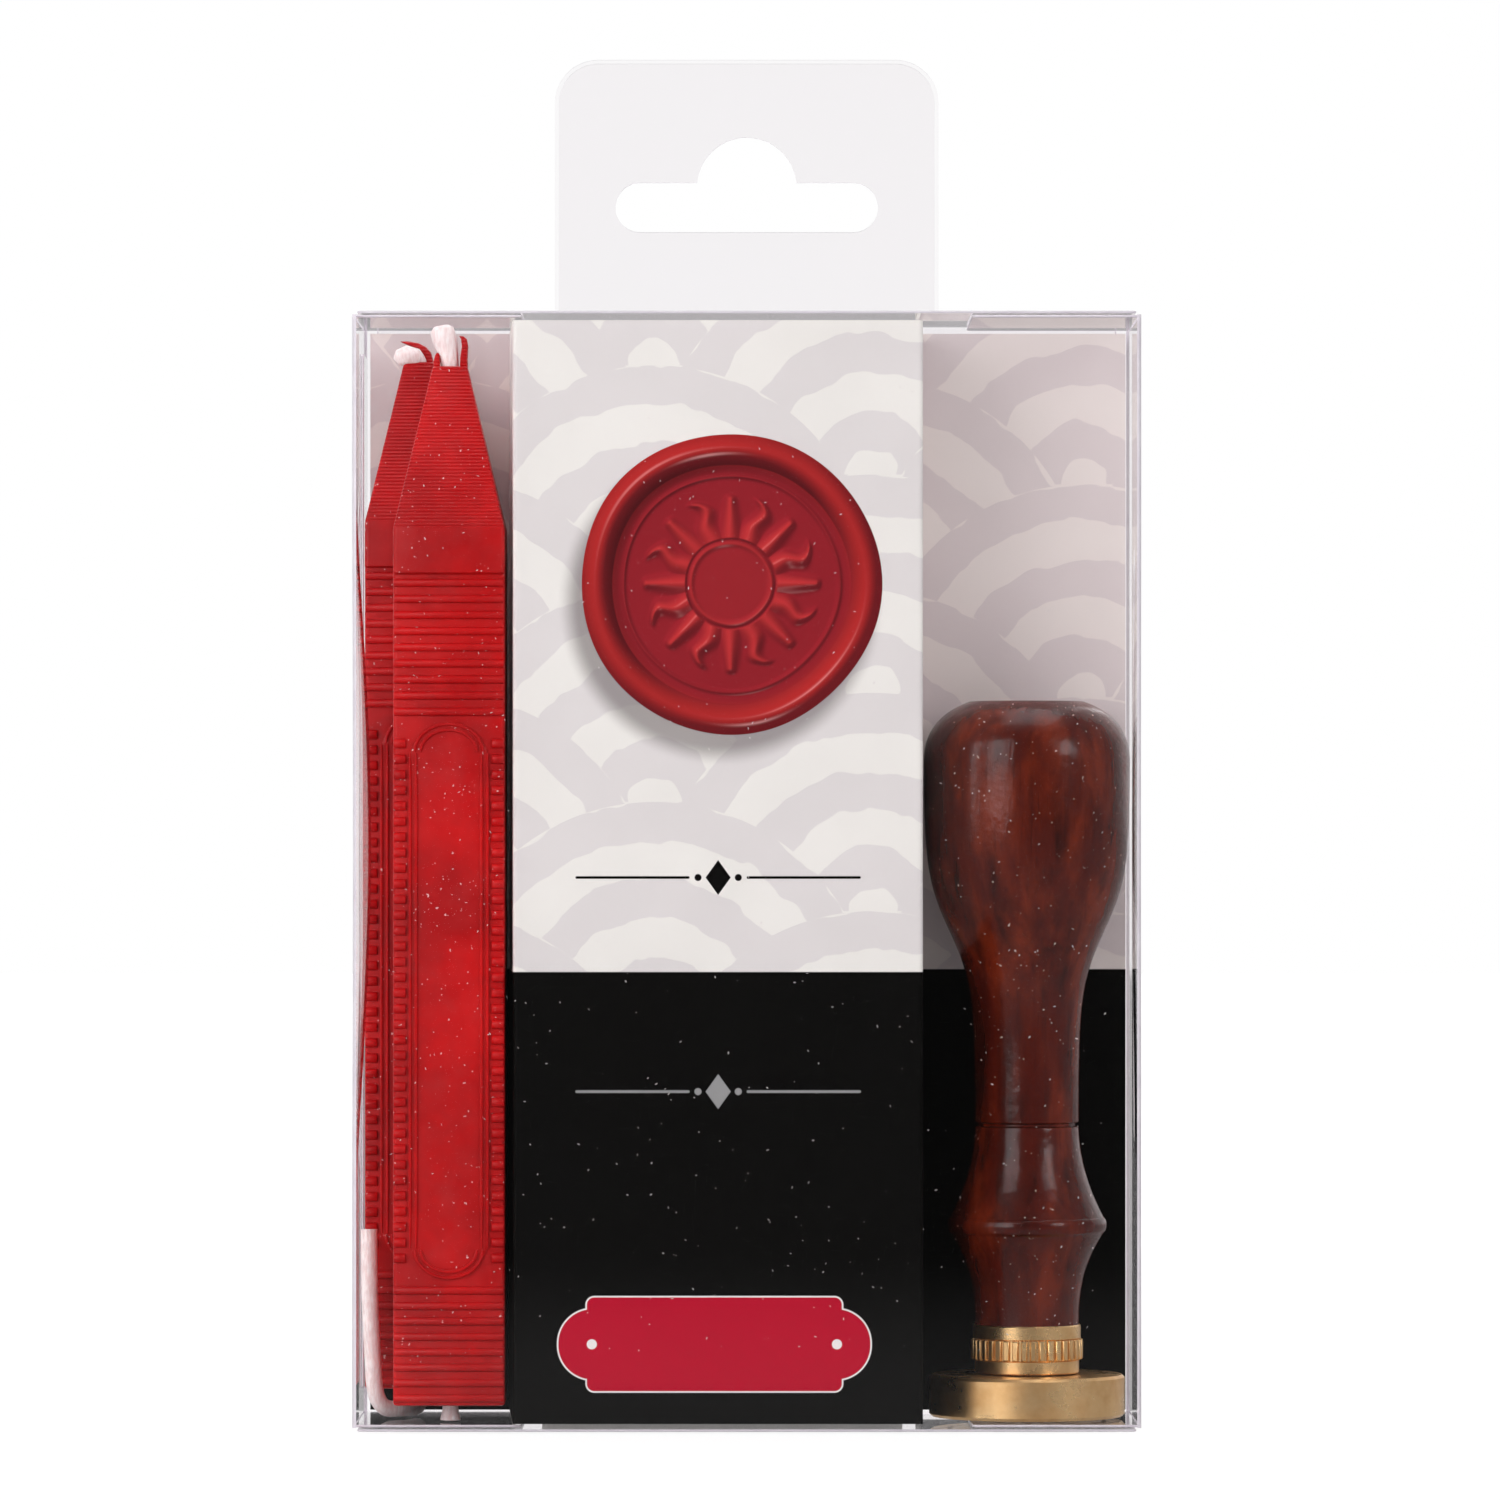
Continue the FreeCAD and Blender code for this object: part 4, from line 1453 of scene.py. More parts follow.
@dataclass
class FoldedCard:
    """The printed card: a front between two webs, and a wing at each side."""

    thick: float = 0.4
    foot: float = 0.9
    head: float = 132.4
    bend: float = 0.4
    levels: int = 12
    path: tuple[Pair, ...] = (
        (-46.0, 12.2), (-28.8, 12.2), (-27.65, -13.95), (20.8, -13.95), (20.8, 12.2), (46.3, 12.2))
    front_starts: Pair = (-27.0, -13.95)
    nodes: tuple[str, ...] = (
        "card_front", "card_web_left", "card_web_right", "card_wing_left", "card_wing_right")

    def build(self) -> None:
        """Makes the card and the printed seal on it."""
        card = paint(self.sheet(), CardPrint().make(), BoardFinish().make())
        dress(card, Slot.CARD, Body.BOX, *self.nodes)
        SealPicture().build()

    def line(self) -> np.ndarray:
        """The card's middle line with small round folds.

        Returns:
            Points in X and Y.
        """
        corners = [np.array(corner) for corner in self.path]
        points = [corners[0]]
        for before, here, after in zip(corners, corners[1:], corners[2:]):
            start = here + (before - here) / np.linalg.norm(before - here) * self.bend
            end = here + (after - here) / np.linalg.norm(after - here) * self.bend
            for share in np.linspace(0, 1, 6):
                points.append((1 - share) ** 2 * start + 2 * share * (1 - share) * here + share ** 2 * end)
        points.append(corners[-1])
        return np.array(points)

    def sheet(self) -> Piece:
        """The folded sheet, unrolled into its UV map in metres.

        Returns:
            The card. Across its front the map runs as X does.
        """
        middle = self.line()
        way = np.gradient(middle, axis=0)
        way /= np.linalg.norm(way, axis=1)[:, None]
        side = np.stack([way[:, 1], -way[:, 0]], 1) * self.thick / 2
        run = np.concatenate([[0], np.cumsum(np.linalg.norm(np.diff(middle, axis=0), axis=1))])
        start = int(np.argmin(np.abs(middle - self.front_starts).sum(1)))
        run += middle[start, 0] - run[start]
        levels = np.linspace(self.foot, self.head, self.levels)
        shell = Shell()
        shell.slab(*(np.array([at_height(middle + offset, z) for z in levels]) for offset in (side, -side)))
        runs = [np.tile(run, self.levels)] * 2 + [np.tile(run, 2)] * 2
        runs += [np.full(2 * self.levels, run[0]), np.full(2 * self.levels, run[-1])]
        card = shell.piece("folded_card", 60.0)
        mesh = card.data
        index = np.zeros(len(mesh.loops), dtype=np.int64)
        mesh.loops.foreach_get("vertex_index", index)
        flat = np.stack([np.concatenate(runs)[index], np.vstack(shell.verts)[index, 2]], 1)
        mesh.uv_layers.new(name="sheet").data.foreach_set("uv", (flat * MM).ravel())
        printed = (self.levels - 1) * (len(middle) - 1)
        mesh.polygons.foreach_set("material_index", [0] * printed + [1] * (len(mesh.polygons) - printed))
        return card


@dataclass
class SealPicture:
    """A printed picture of a wax seal with a sun, painted from a relief."""

    centre: Pair = (-1.9, 101.0)
    radius: float = 17.9
    level: float = -14.17
    rings: int = 130
    steps: int = 360
    rays: int = 16
    rim: float = 0.82
    floor_r: float = 0.8
    lip_r: float = 0.905
    lip_half: float = 0.1
    lip_rise: float = 0.16
    border_r: float = 0.72
    sun_r: float = 0.27
    sun_disc_r: float = 0.25
    ray_from: float = 0.3
    ray_length: float = 0.29
    ray_end: float = 0.6
    lamp: Point = (-0.42, 0.5, 0.76)
    low_lamp: Point = (0.12, -0.66, 0.74)
    wax: Colour = srgb(170, 36, 36)
    floor: Colour = srgb(146, 28, 38)
    ridge: Colour = srgb(184, 46, 48)
    deep: Colour = srgb(92, 14, 22)
    shine: Colour = srgb(250, 214, 208)

    def build(self) -> None:
        """Makes the flat disc and paints it."""
        dress(paint(self.disc(), InkFinish().make()), Slot.CARD, Body.BOX)

    def relief(self, r: np.ndarray, t: np.ndarray) -> np.ndarray:
        """Height of the pictured wax, with radius 1 at its edge.

        Args:
            r: Radius of each point.
            t: Angle of each point.

        Returns:
            The heights.
        """
        def swell(at: float, width: float) -> np.ndarray:
            """A round ridge at one radius."""
            return np.exp(-((r - at) / width) ** 2)

        lip = self.lip_rise * np.sqrt(np.clip(1 - ((r - self.lip_r) / self.lip_half) ** 2, 0, None))
        high = lip + 0.012 * swell(self.border_r, 0.012) + 0.02 * swell(self.sun_r, 0.022)
        high += 0.012 / (1 + np.exp((r - self.sun_disc_r) / 0.01))
        reach = np.clip((r - self.ray_from) / self.ray_length, 0, 1)
        rays_at = (r > self.ray_from) * np.clip((self.ray_end - r) / 0.03, 0, 1)
        for number in range(self.rays):
            wavy = number % 2
            bend = 0.1 * np.sin(7.0 * reach) * reach if wavy else 0.0
            off = np.angle(np.exp(1j * (t - 2 * np.pi * number / self.rays - bend)))
            width = (0.062 if wavy else 0.055) * (1 - 0.75 * reach) + 0.012
            ray = np.exp(-((off * r) / width) ** 2) * rays_at
            high = np.maximum(high, 0.03 * ray)
        return high + 0.02 * (r > self.floor_r)

    def tones(self, r: np.ndarray, t: np.ndarray, high: np.ndarray) -> np.ndarray:
        """Paints the relief as a photograph of it would show it.

        Args:
            r: Radius of each point.
            t: Angle of each point.
            high: Height of each point.

        Returns:
            A linear colour for each point.
        """
        out = np.gradient(high, axis=0) / np.gradient(r, axis=0)
        turn = (np.roll(high, -1, 1) - np.roll(high, 1, 1)) / (4 * np.pi / self.steps) / r
        slope_x = out * np.cos(t) - turn * np.sin(t)
        slope_z = out * np.sin(t) + turn * np.cos(t)
        normal = np.stack([-slope_x, -slope_z, np.where(r < self.floor_r, 0.42, 0.6)], -1)
        normal /= np.linalg.norm(normal, axis=-1)[..., None]
        half = np.array(self.lamp) + (0, 0, 1)
        lit = np.clip(normal @ np.array(self.lamp), 0, 1)
        gloss = np.clip(normal @ (half / np.linalg.norm(half)), 0, 1) ** 90
        low = np.clip(normal @ np.array(self.low_lamp), 0, 1) ** 120
        inner = 1 / (1 + np.exp((r - self.floor_r) / 0.012))[..., None]
        body = np.array(self.wax) * (1 - inner) + np.array(self.floor) * inner
        raised = np.clip((high - 0.008) / 0.02, 0, 1)[..., None] * inner
        body = body + (np.array(self.ridge) - body) * raised
        share = np.clip(0.12 + 1.1 * lit, 0, 1.3)[..., None]
        tone = np.array(self.deep) * (1 - np.clip(share, 0, 1)) + body * share
        well = np.exp(-((r - 0.79) / 0.055) ** 2) * np.clip(0.35 - 0.65 * np.cos(t + 0.9), 0, 1)
        tone = tone * (1 - 0.55 * well)[..., None]
        on_floor = 0.16 * gloss * (high > 0.015) + 0.1 * low
        glint = np.where(r > self.rim, 0.3 * gloss + 0.42 * low, on_floor)
        return np.clip(tone + np.array(self.shine) * glint[..., None], 0, 1)

    def disc(self) -> Piece:
        """The flat disc with its colours in a point attribute.

        Returns:
            The disc, a little uneven at its edge.
        """
        out, turn = np.linspace(0.004, 1, self.rings), np.linspace(0, 2 * np.pi, self.steps, endpoint=False)
        r, t = np.meshgrid(out, turn, indexing="ij")
        reach = self.radius * r * (1 + 0.006 * np.sin(3 * t + 1.0) + 0.005 * np.sin(5 * t + 2.2))
        x, z = self.centre[0] + reach * np.cos(t), self.centre[1] + reach * np.sin(t)
        shell = Shell()
        shell.grid(np.stack([x, np.full_like(x, self.level), z], -1), around=True)
        shell.faces.append(tuple(reversed(range(self.steps))))
        piece = shell.piece("printed_seal", 180.0)
        colours = np.ones((self.rings * self.steps, 4))
        colours[:, :3] = self.tones(r, t, self.relief(r, t)).reshape(-1, 3)
        ink = piece.data.color_attributes.new("ink", "FLOAT_COLOR", "POINT")
        ink.data.foreach_set("color", colours.ravel())
        piece.data.flip_normals()
        return piece


@dataclass
class WaxStick:
    """A cast wax stick: ribbed at both ends, with a bare pill plate and beaded edges."""

    name: str
    node: str
    x: float
    y: float
    z: float
    finish: WaxFinish
    horns: tuple[tuple[tuple[float, float, float, float], ...], ...]
    half_w: float = 6.65
    half_d: float = 6.25
    shoulder: float = 104.6
    top: float = 124.0
    tip: float = 2.1
    rib_depth: float = 0.55
    rib_pitch: float = 1.83
    rib_inset: float = 0.08
    rib_tall: float = 0.53
    low_ribs: Pair = (0.0, 14.7)
    high_ribs: Pair = (81.8, 99.1)
    plate: Pair = (15.2, 81.4)
    plate_half: float = 4.7
    plate_rise: float = 0.2
    plate_lines: tuple[Pair, ...] = ((0.1, 0.24), (0.8, 0.32))
    plate_end: float = 3.4
    plate_step: float = 0.55
    line_r: float = 0.21
    line_end_r: float = 0.12
    bead_half: float = 0.75
    bead_inset: float = 0.05
    bead_tall: float = 0.62
    bead_margin: float = 1.5

    def build(self) -> None:
        """Makes the stick as one object."""
        finish = self.finish.make()
        core = paint(self.core(), finish)
        beads = (self.plate[0] + self.bead_margin, self.plate[1] - self.bead_margin)
        aside = self.half_w - self.bead_inset - self.bead_half
        rows = []
        for side in (-1, 1):
            for span in (self.low_ribs, self.high_ribs):
                rib = self.bar(self.half_w - self.rib_inset, self.rib_tall)
                rows.append(self.row(rib, span, 0.0, side, finish))
            for x in (-aside, aside):
                rows.append(self.row(self.bar(self.bead_half, self.bead_tall), beads, x, side, finish))
        join(core, *rows)
        core.name = self.name
        dress(core, Slot.WAX, Body.BOX, self.node)

    def core(self) -> Piece:
        """The smooth bar with its taper, plates and horns.

        Returns:
            The bar in its place.
        """
        wide, face, ribs_end = self.half_w, self.half_d - self.rib_depth, self.high_ribs[1]
        levels = [(0.0, wide - 0.35, face - 0.3), (0.12, wide - 0.1, face - 0.06), (0.4, wide, face)]
        levels += [(z, wide, face) for z in np.linspace(5, ribs_end, 24)]
        levels += [(ribs_end + 0.25, wide, self.half_d), (self.shoulder - 0.2, wide, self.half_d)]
        start, end = np.array([self.shoulder, wide, self.half_d]), np.array([self.top, self.tip, self.tip])
        levels += [tuple(start + (end - start) * share) for share in np.linspace(0.012, 1, 40)]
        levels.append((self.top + 0.15, self.tip - 0.2, self.tip - 0.2))
        rings = [at_height(rounded_ring(hx, hy, min(0.5, hx * 0.3)), z) for z, hx, hy in levels]
        shell = Shell()
        shell.grid(np.array(rings), around=True, caps=True)
        for side in (-1, 1):
            self.pill(shell, side * face, side)
            for inset, lift in self.plate_lines:
                self.outline(shell, side * (face + lift), inset)
        for horn in self.horns:
            rings = []
            for x, z, across, deep in horn:
                ring = rounded_ring(across / 2, deep / 2, min(across, deep) * 0.3, 2)
                rings.append(at_height(ring + (x, 0.0), self.top + z))
            shell.grid(np.array(rings), around=True, caps=True)
        for part in shell.verts:
            part += (self.x, self.y, self.z)
        return shell.piece(self.name + "_core", 32.0)

    def stadium(self, inset: float) -> np.ndarray:
        """The plate's pill outline in X and Z.

        Args:
            inset: Distance inside the plate's edge.

        Returns:
            The outline's points.
        """
        half = self.plate_half - inset
        low, high = self.plate[0] + inset + half, self.plate[1] - inset - half
        return np.vstack([arc(0.0, high, half, 0.0, np.pi, 24), arc(0.0, low, half, np.pi, 2 * np.pi, 24)])

    def pill(self, shell: Shell, face: float, side: int) -> None:
        """Adds the raised plate with its soft edge.

        Args:
            shell: The stick's mesh.
            face: The face's place along Y.
            side: -1 on the front face, 1 on the rear one.
        """
        rise = self.plate_rise
        steps = ((0.0, -0.1), (0.0, rise * 0.55), (0.12, rise * 0.92), (0.3, rise))
        rows = [at_depth(self.stadium(inset), face + side * lift) for inset, lift in steps]
        shell.grid(np.array(rows), around=True, flip=side > 0)
        cap = tuple(range(shell.count - len(rows[-1]), shell.count))
        shell.faces.append(cap if side < 0 else tuple(reversed(cap)))

    def outline(self, shell: Shell, level: float, inset: float) -> None:
        """Adds one raised line round the plate: two straight sides and, stepped in from them, two round ends.

        Args:
            shell: The stick's mesh.
            level: The line's place along Y.
            inset: Distance inside the plate's edge.
        """
        low, high = self.plate[0] + self.plate_end, self.plate[1] - self.plate_end
        half = self.plate_half - inset
        upright = np.linspace(low + 0.2, high - 0.2, 12)
        paths = [np.column_stack([np.full(12, x), upright]) for x in (-half, half)]
        turn = np.linspace(0, np.pi, 20)
        wide, deep = half - self.plate_step, self.plate_end - inset
        for middle, way in ((high, 1), (low, -1)):
            paths.append(np.stack([wide * np.cos(turn), middle + way * deep * np.sin(turn)], 1))
        for path in paths:
            radii = [self.line_end_r] + [self.line_r] * (len(path) - 2) + [self.line_end_r]
            shell.tube(at_depth(path, level), radii, 8)

    def bar(self, half: float, tall: float) -> Piece:
        """One rounded rib, lying along X on the face at Y = 0 and rising to -Y.

        Args:
            half: Half its length.
            tall: Half its height along Z.

        Returns:
            The rib's object, only used for its mesh.
        """
        across = np.array([-1, -0.97, -0.88, -0.7, -0.35, 0, 0.35, 0.7, 0.88, 0.97, 1])
        rise = 1 - np.abs(across) ** 4
        ends = ((0.0, 0.7), (0.05, 0.86), (0.16, 1.0))
        places = [(inset - half, part) for inset, part in ends]
        places += [(half - inset, part) for inset, part in reversed(ends)]
        rows = []
        for x, part in places:
            out = 0.12 - (self.rib_depth + 0.1) * part * rise
            rows.append(np.stack([np.full(len(across), x), out, tall * across * (0.8 + 0.2 * part)], 1))
        shell = Shell()
        shell.grid(np.array(rows), caps=True)
        return shell.piece(self.name + "_rib", 50.0)

    def row(self, bar: Piece, span: Pair, x: float, side: int, finish: Material) -> Piece:
        """A row of ribs or beads up one face.

        Args:
            bar: One rib or bead.
            span: Where the row starts and ends above the stick's foot.
            x: The row's place across the stick.
            side: -1 on the front face, 1 on the rear one.
            finish: The wax.

        Returns:
            The row as one object.
        """
        low, high = span
        count = int((high - low) / self.rib_pitch)
        pitch = (high - low) / count
        if side > 0:
            turned = points_of(bar.data) * (-1, -1, 1)
            bar.data.vertices.foreach_set("co", turned.ravel())
        face = self.y + side * (self.half_d - self.rib_depth)
        start = ((self.x + x) * MM, face * MM, (self.z + low + pitch / 2) * MM)
        return Rows.line(bar.name + "_row", bar, count, start, (0.0, 0.0, pitch * MM), finish)


@dataclass
class Wicks:
    """The cotton wicks: two in the sticks, and the loose tail of the rear one.

    A strand's points give the shift from its axis along X and Y, the height and the radius.
    """

    radius: float = 1.0
    front: Pair = (-35.5, -7.85)
    rear: Pair = (-39.45, 4.95)
    front_points: tuple[tuple[float, float, float, float], ...] = (
        (0.0, 0.0, 0.97, 1.25), (0.0, 0.0, 1.4525, 1.15), (0.0, 0.0, 1.935, 1.0), (0.0, 0.0, 2.4175, 0.95),
        (0.0, 0.0, 2.9, 0.95), (0.0, 0.0, 60.0, 0.95), (0.0, 0.0, 126.6, 0.98), (-0.1, 0.0, 127.8, 1.08),
        (-0.35, 0.0, 129.2, 1.25), (-0.75, 0.0, 130.6, 1.5), (-1.05, 0.0, 131.6, 1.45),
        (-1.15, 0.0, 132.1, 0.85))
    rear_points: tuple[tuple[float, float, float, float], ...] = (
        (0.0, 0.0, 6.4, 0.98), (0.0, 0.0, 60.0, 0.95), (0.0, 0.0, 127.0, 0.98), (-0.3, -0.6, 128.3, 1.1),
        (-0.9, -1.1, 129.0, 1.25), (-1.7, -1.3, 129.2, 1.3), (-2.5, -1.2, 128.9, 1.15),
        (-3.0, -1.1, 128.5, 0.6))
    tail: tuple[Point, ...] = (
        (-39.45, 4.95, 6.6), (-39.45, 4.95, 1.95), (-40.6, -0.6, 1.95), (-44.6, -4.6, 1.95),
        (-45.0, -5.0, 9.15), (-45.35, -5.25, 16.35), (-45.4, -4.85, 23.7))
    tail_length: float = 35.7

    def build(self) -> None:
        """Makes the tail first, then the wicks in the sticks."""
        finish = WickFinish().make()
        self.loose_tail(finish)
        self.strand("wick_of_front_stick", self.front, self.front_points, finish, "wick_front")
        self.strand("wick_of_rear_stick", self.rear, self.rear_points, finish, "wick_rear")

    def strand(
            self, name: str, axis: Pair, points: Sequence[Sequence[float]], finish: Material,
            node: str) -> None:
        """Makes one wick with an uneven waxed skin.

        Args:
            name: The piece's name.
            axis: The stick's axis.
            points: The strand's points, as the class describes them.
            finish: The waxed cotton.
            node: The CAD node that it replaces.
        """
        x, y = axis
        shell = Shell()
        path = np.array([(x + aside, y + deep, z) for aside, deep, z, _ in points])
        shell.tube(path, [radius for *_, radius in points], 16)
        dress(paint(shell.piece(name, 70.0), finish), Slot.WICK, Body.BOX, node)

    def loose_tail(self, finish: Material) -> None:
        """The tail of the rear wick: over the floor and up the left wall.

        Args:
            finish: The waxed cotton.
        """
        line = bpy.data.curves.new("wick_tail", "CURVE")
        line.dimensions = "3D"
        line.bevel_depth = self.radius * MM
        line.bevel_resolution = 4
        line.resolution_u = 10
        line.use_fill_caps = True
        spline = line.splines.new("NURBS")
        spline.points.add(len(self.tail) - 1)
        for point, place in zip(spline.points, self.tail):
            point.co = (*(value * MM for value in place), 1.0)
        spline.order_u = 3
        spline.use_endpoint_u = True
        piece = paint(bpy.data.objects.new("wick_tail", line), finish)
        bpy.context.scene.collection.objects.link(piece)
        dress(piece, Slot.WICK, Body.BOX, "wick_rear_tail")


@dataclass
class Booklet:
    """A stapled booklet behind the card."""

    left: float = -25.0
    right: float = 19.0
    front: float = 10.4
    rear: float = 11.9
    foot: float = 0.6
    head: float = 105.6
    cover: float = 0.25
    fold_reach: float = 12.0
    pages: int = 8
    page_half: float = 0.04
    page_corner: float = 0.4
    page_gap: float = 0.05
    spine_gap: float = 0.8
    trim: float = 0.6
    end_trim: float = 0.02

    def build(self) -> None:
        """Makes the cover and its pages, and repaints the staples."""
        dress(paint(self.wrap(), CoverFinish().make()), Slot.PAPER, Body.BOOKLET, "booklet_cover")
        dress(self.leaves(), Slot.PAPER, Body.BOOKLET, "booklet_pages")
        wire = MetalFinish("staple_wire", srgb(190, 192, 196), srgb(150, 152, 158), 0.3, 8.0)
        repaint("booklet_staples", wire.make())

    def wrap(self) -> Piece:
        """The cover sheet, bent round its spine.

        Returns:
            The cover.
        """
        middle, deep = (self.front + self.rear) / 2, (self.rear - self.front) / 2
        flat_from = self.left + self.fold_reach
        skins = []
        for bend in (deep - self.cover, deep):
            spine = arc(self.left + deep, middle, bend, 1.5 * np.pi, 0.5 * np.pi, 9)
            near = [(self.right, middle - bend), (flat_from, middle - bend)]
            far = [(flat_from, middle + bend), (self.right, middle + bend)]
            outline = np.vstack([near, spine, far])
            skins.append(np.array([at_height(outline, z) for z in np.linspace(self.foot, self.head, 6)]))
        shell = Shell()
        shell.slab(*skins)
        return shell.piece("booklet_wrap", 50.0, weld=True)

    def leaves(self) -> Piece:
        """The pages as a stack of thin sheets.

        Returns:
            The stack as one object, with its finish on it.
        """
        finish = BoardFinish("booklet_leaves", srgb(240, 237, 230), 0.85).make()
        inside = self.cover + self.page_gap
        pitch = (self.rear - self.front - 2 * inside) / self.pages
        half_x = (self.right - self.trim - self.left - self.spine_gap) / 2
        ring = rounded_ring(half_x, (self.head - self.foot) / 2 - self.end_trim, self.page_corner, 2)
        rows = np.array([at_depth(ring, y) for y in (-self.page_half, self.page_half)])
        shell = Shell()
        shell.grid(rows, around=True, flip=True, caps=True)
        x, y = self.left + self.spine_gap + half_x, self.front + inside + pitch / 2
        start = (x * MM, y * MM, (self.foot + self.head) / 2 * MM)
        leaf = shell.piece("booklet_leaf", 30.0)
        return Rows.line("booklet_leaves", leaf, self.pages, start, (0.0, pitch * MM, 0.0), finish)


@dataclass
class SealStamp:
    """The turned handle of the seal stamp, and the metal below it."""

    x: float = 33.8
    y: float = -1.2
    foot: float = 12.1
    height: float = 75.1
    neck: float = 6.25
    bead: float = 9.6
    bead_rise: float = 12.0
    bead_half: float = 0.9
    bead_round: float = 0.35
    groove_rise: float = 24.1
    groove_depth: float = 0.4
    groove_edge: float = 0.05
    groove_half: float = 0.12
    knob: float = 12.45
    flare_rise: float = 47.4
    flare_span: float = 3.4
    wide_rise: float = 67.7
    top_r: float = 6.9
    roundness: float = 2.4
    axis_r: float = 0.02
    bore: float = 3.15
    bore_top: float = 15.55
    tenon: float = 4.7
    tenon_l: float = 3.5
    tenon_gap: float = 0.05
    ferrule_levels: tuple[float, float, float, float] = (6.25, 7.9, 10.4, 12.1)
    low_ring_r: float = 6.3
    top_ring_r: float = 6.5
    flute_r: Pair = (6.36, 6.75)
    flutes: int = 38

    def build(self) -> None:
        """Makes the handle and the ferrule, and repaints the other metal."""
        shell = Shell()
        shell.grid(lathe(self.profile(), (self.x, self.y), 144), around=True, caps=True)
        handle = paint(shell.piece("turned_handle", 38.0), WoodFinish().make())
        dress(handle, Slot.WOOD, Body.HANDLE, "stamp_handle")
        brass = MetalFinish().make()
        dress(self.ferrule(brass), Slot.BRASS, Body.HANDLE, "stamp_ferrule")
        repaint("seal_head", brass)
        steel = MetalFinish("stud_steel", srgb(176, 178, 182), srgb(128, 130, 136), 0.35, 6.0)
        repaint("threaded_stud", steel.make())

    def ferrule(self, brass: Material) -> Piece:
        """The ferrule: a plain ring, a fluted band and a plain ring, with its bore.

        Args:
            brass: Its finish.

        Returns:
            The ferrule as one object.
        """
        low, band, upper, top = self.ferrule_levels
        small, large, root, bore = self.low_ring_r, self.top_ring_r, self.flute_r[0], self.bore
        socket, seat = self.tenon + self.tenon_gap, top - self.tenon_l - self.tenon_gap
        profile = [
            (bore, low), (small - 0.15, low), (small, low + 0.15), (small, band - 0.12), (small - 0.08, band),
            (root, band + 0.04), (root, upper - 0.04), (large - 0.08, upper), (large, upper + 0.1),
            (large, top - 0.15), (large - 0.12, top), (socket, top), (socket, seat), (bore, seat),
            (bore, low)]
        shell = Shell()
        shell.grid(lathe(profile, (self.x, self.y), 128), around=True)
        body = paint(shell.piece("fluted_ferrule", 32.0, weld=True), brass)
        centre = (self.x * MM, self.y * MM, (band + upper) / 2 * MM)
        return join(body, Rows.ring("ferrule_teeth", self.tooth(), self.flutes, centre, brass))

    def tooth(self) -> Piece:
        """One tooth of the fluted band, out along X from the axis.

        Returns:
            The tooth's object, only used for its mesh.
        """
        _, band, upper, _ = self.ferrule_levels
        root, tip = self.flute_r
        half = math.pi * tip / self.flutes * 0.62
        high = (upper - band) / 2 - 0.05
        rows = []
        for z, part in ((-high, 0.72), (-high + 0.12, 1.0), (high - 0.12, 1.0), (high, 0.72)):
            out = root + (tip - root) * part
            flank = ((out, half * 0.72), (out - 0.1, half), (root - 0.1, half * 1.12))
            rows.append([(x, -y, z) for x, y in reversed(flank)] + [(x, y, z) for x, y in flank])
        shell = Shell()
        shell.grid(np.array(rows), around=True, caps=True)
        return shell.piece("ferrule_tooth", 40.0)

    def profile(self) -> list[Pair]:
        """The handle's half section, from the bore's end down, out and up to the top.

        Returns:
            Radius and height of each point.
        """
        neck, swell = self.neck, self.bead - self.bead_round - self.neck
        low, high = self.bead_rise - self.bead_half, self.bead_rise + self.bead_half
        groove, waist = self.groove_rise, self.groove_rise - 0.35
        bore_end = self.bore_top - self.foot
        points = [
            (self.axis_r, bore_end), (self.bore, bore_end), (self.bore, -self.tenon_l),
            (self.tenon, -self.tenon_l), (self.tenon, 0.0), (neck, 0.0)]
        points += [(neck + swell * share ** 2.4, low * share) for share in np.linspace(0.04, 1, 26)]
        for turn in np.linspace(0.3, math.pi - 0.3, 9):
            out = neck + swell + self.bead_round * math.sin(turn)
            points.append((out, self.bead_rise - self.bead_half * math.cos(turn)))
        for share in np.linspace(1, 0.02, 30):
            points.append((neck + swell * share ** 1.85, waist + (high - waist) * share))
        edge, deep = neck - self.groove_edge, neck - self.groove_depth
        points += [(edge, groove - 0.3), (deep, groove - self.groove_half)]
        points += [(deep, groove + self.groove_half), (edge, groove + 0.3)]
        for rise in np.linspace(groove + 0.36, self.wide_rise, 60):
            share = 1 / (1 + math.exp((self.flare_rise - rise) / self.flare_span))
            points.append((neck + (self.knob - neck) * share, rise))
        wide, power, room = points[-1][0], self.roundness, self.height - self.wide_rise
        crown = room / (1 - (self.top_r / wide) ** power) ** (1 / power)
        for share in np.linspace(0.05, 1, 22):
            rise = room * math.sin(math.pi / 2 * share)
            points.append((wide * (1 - (rise / crown) ** power) ** (1 / power), self.wide_rise + rise))
        points += [(radius, self.height) for radius in (self.top_r - 0.25, self.top_r * 0.5, self.axis_r)]
        return [(radius, self.foot + rise) for radius, rise in points]


# Studio


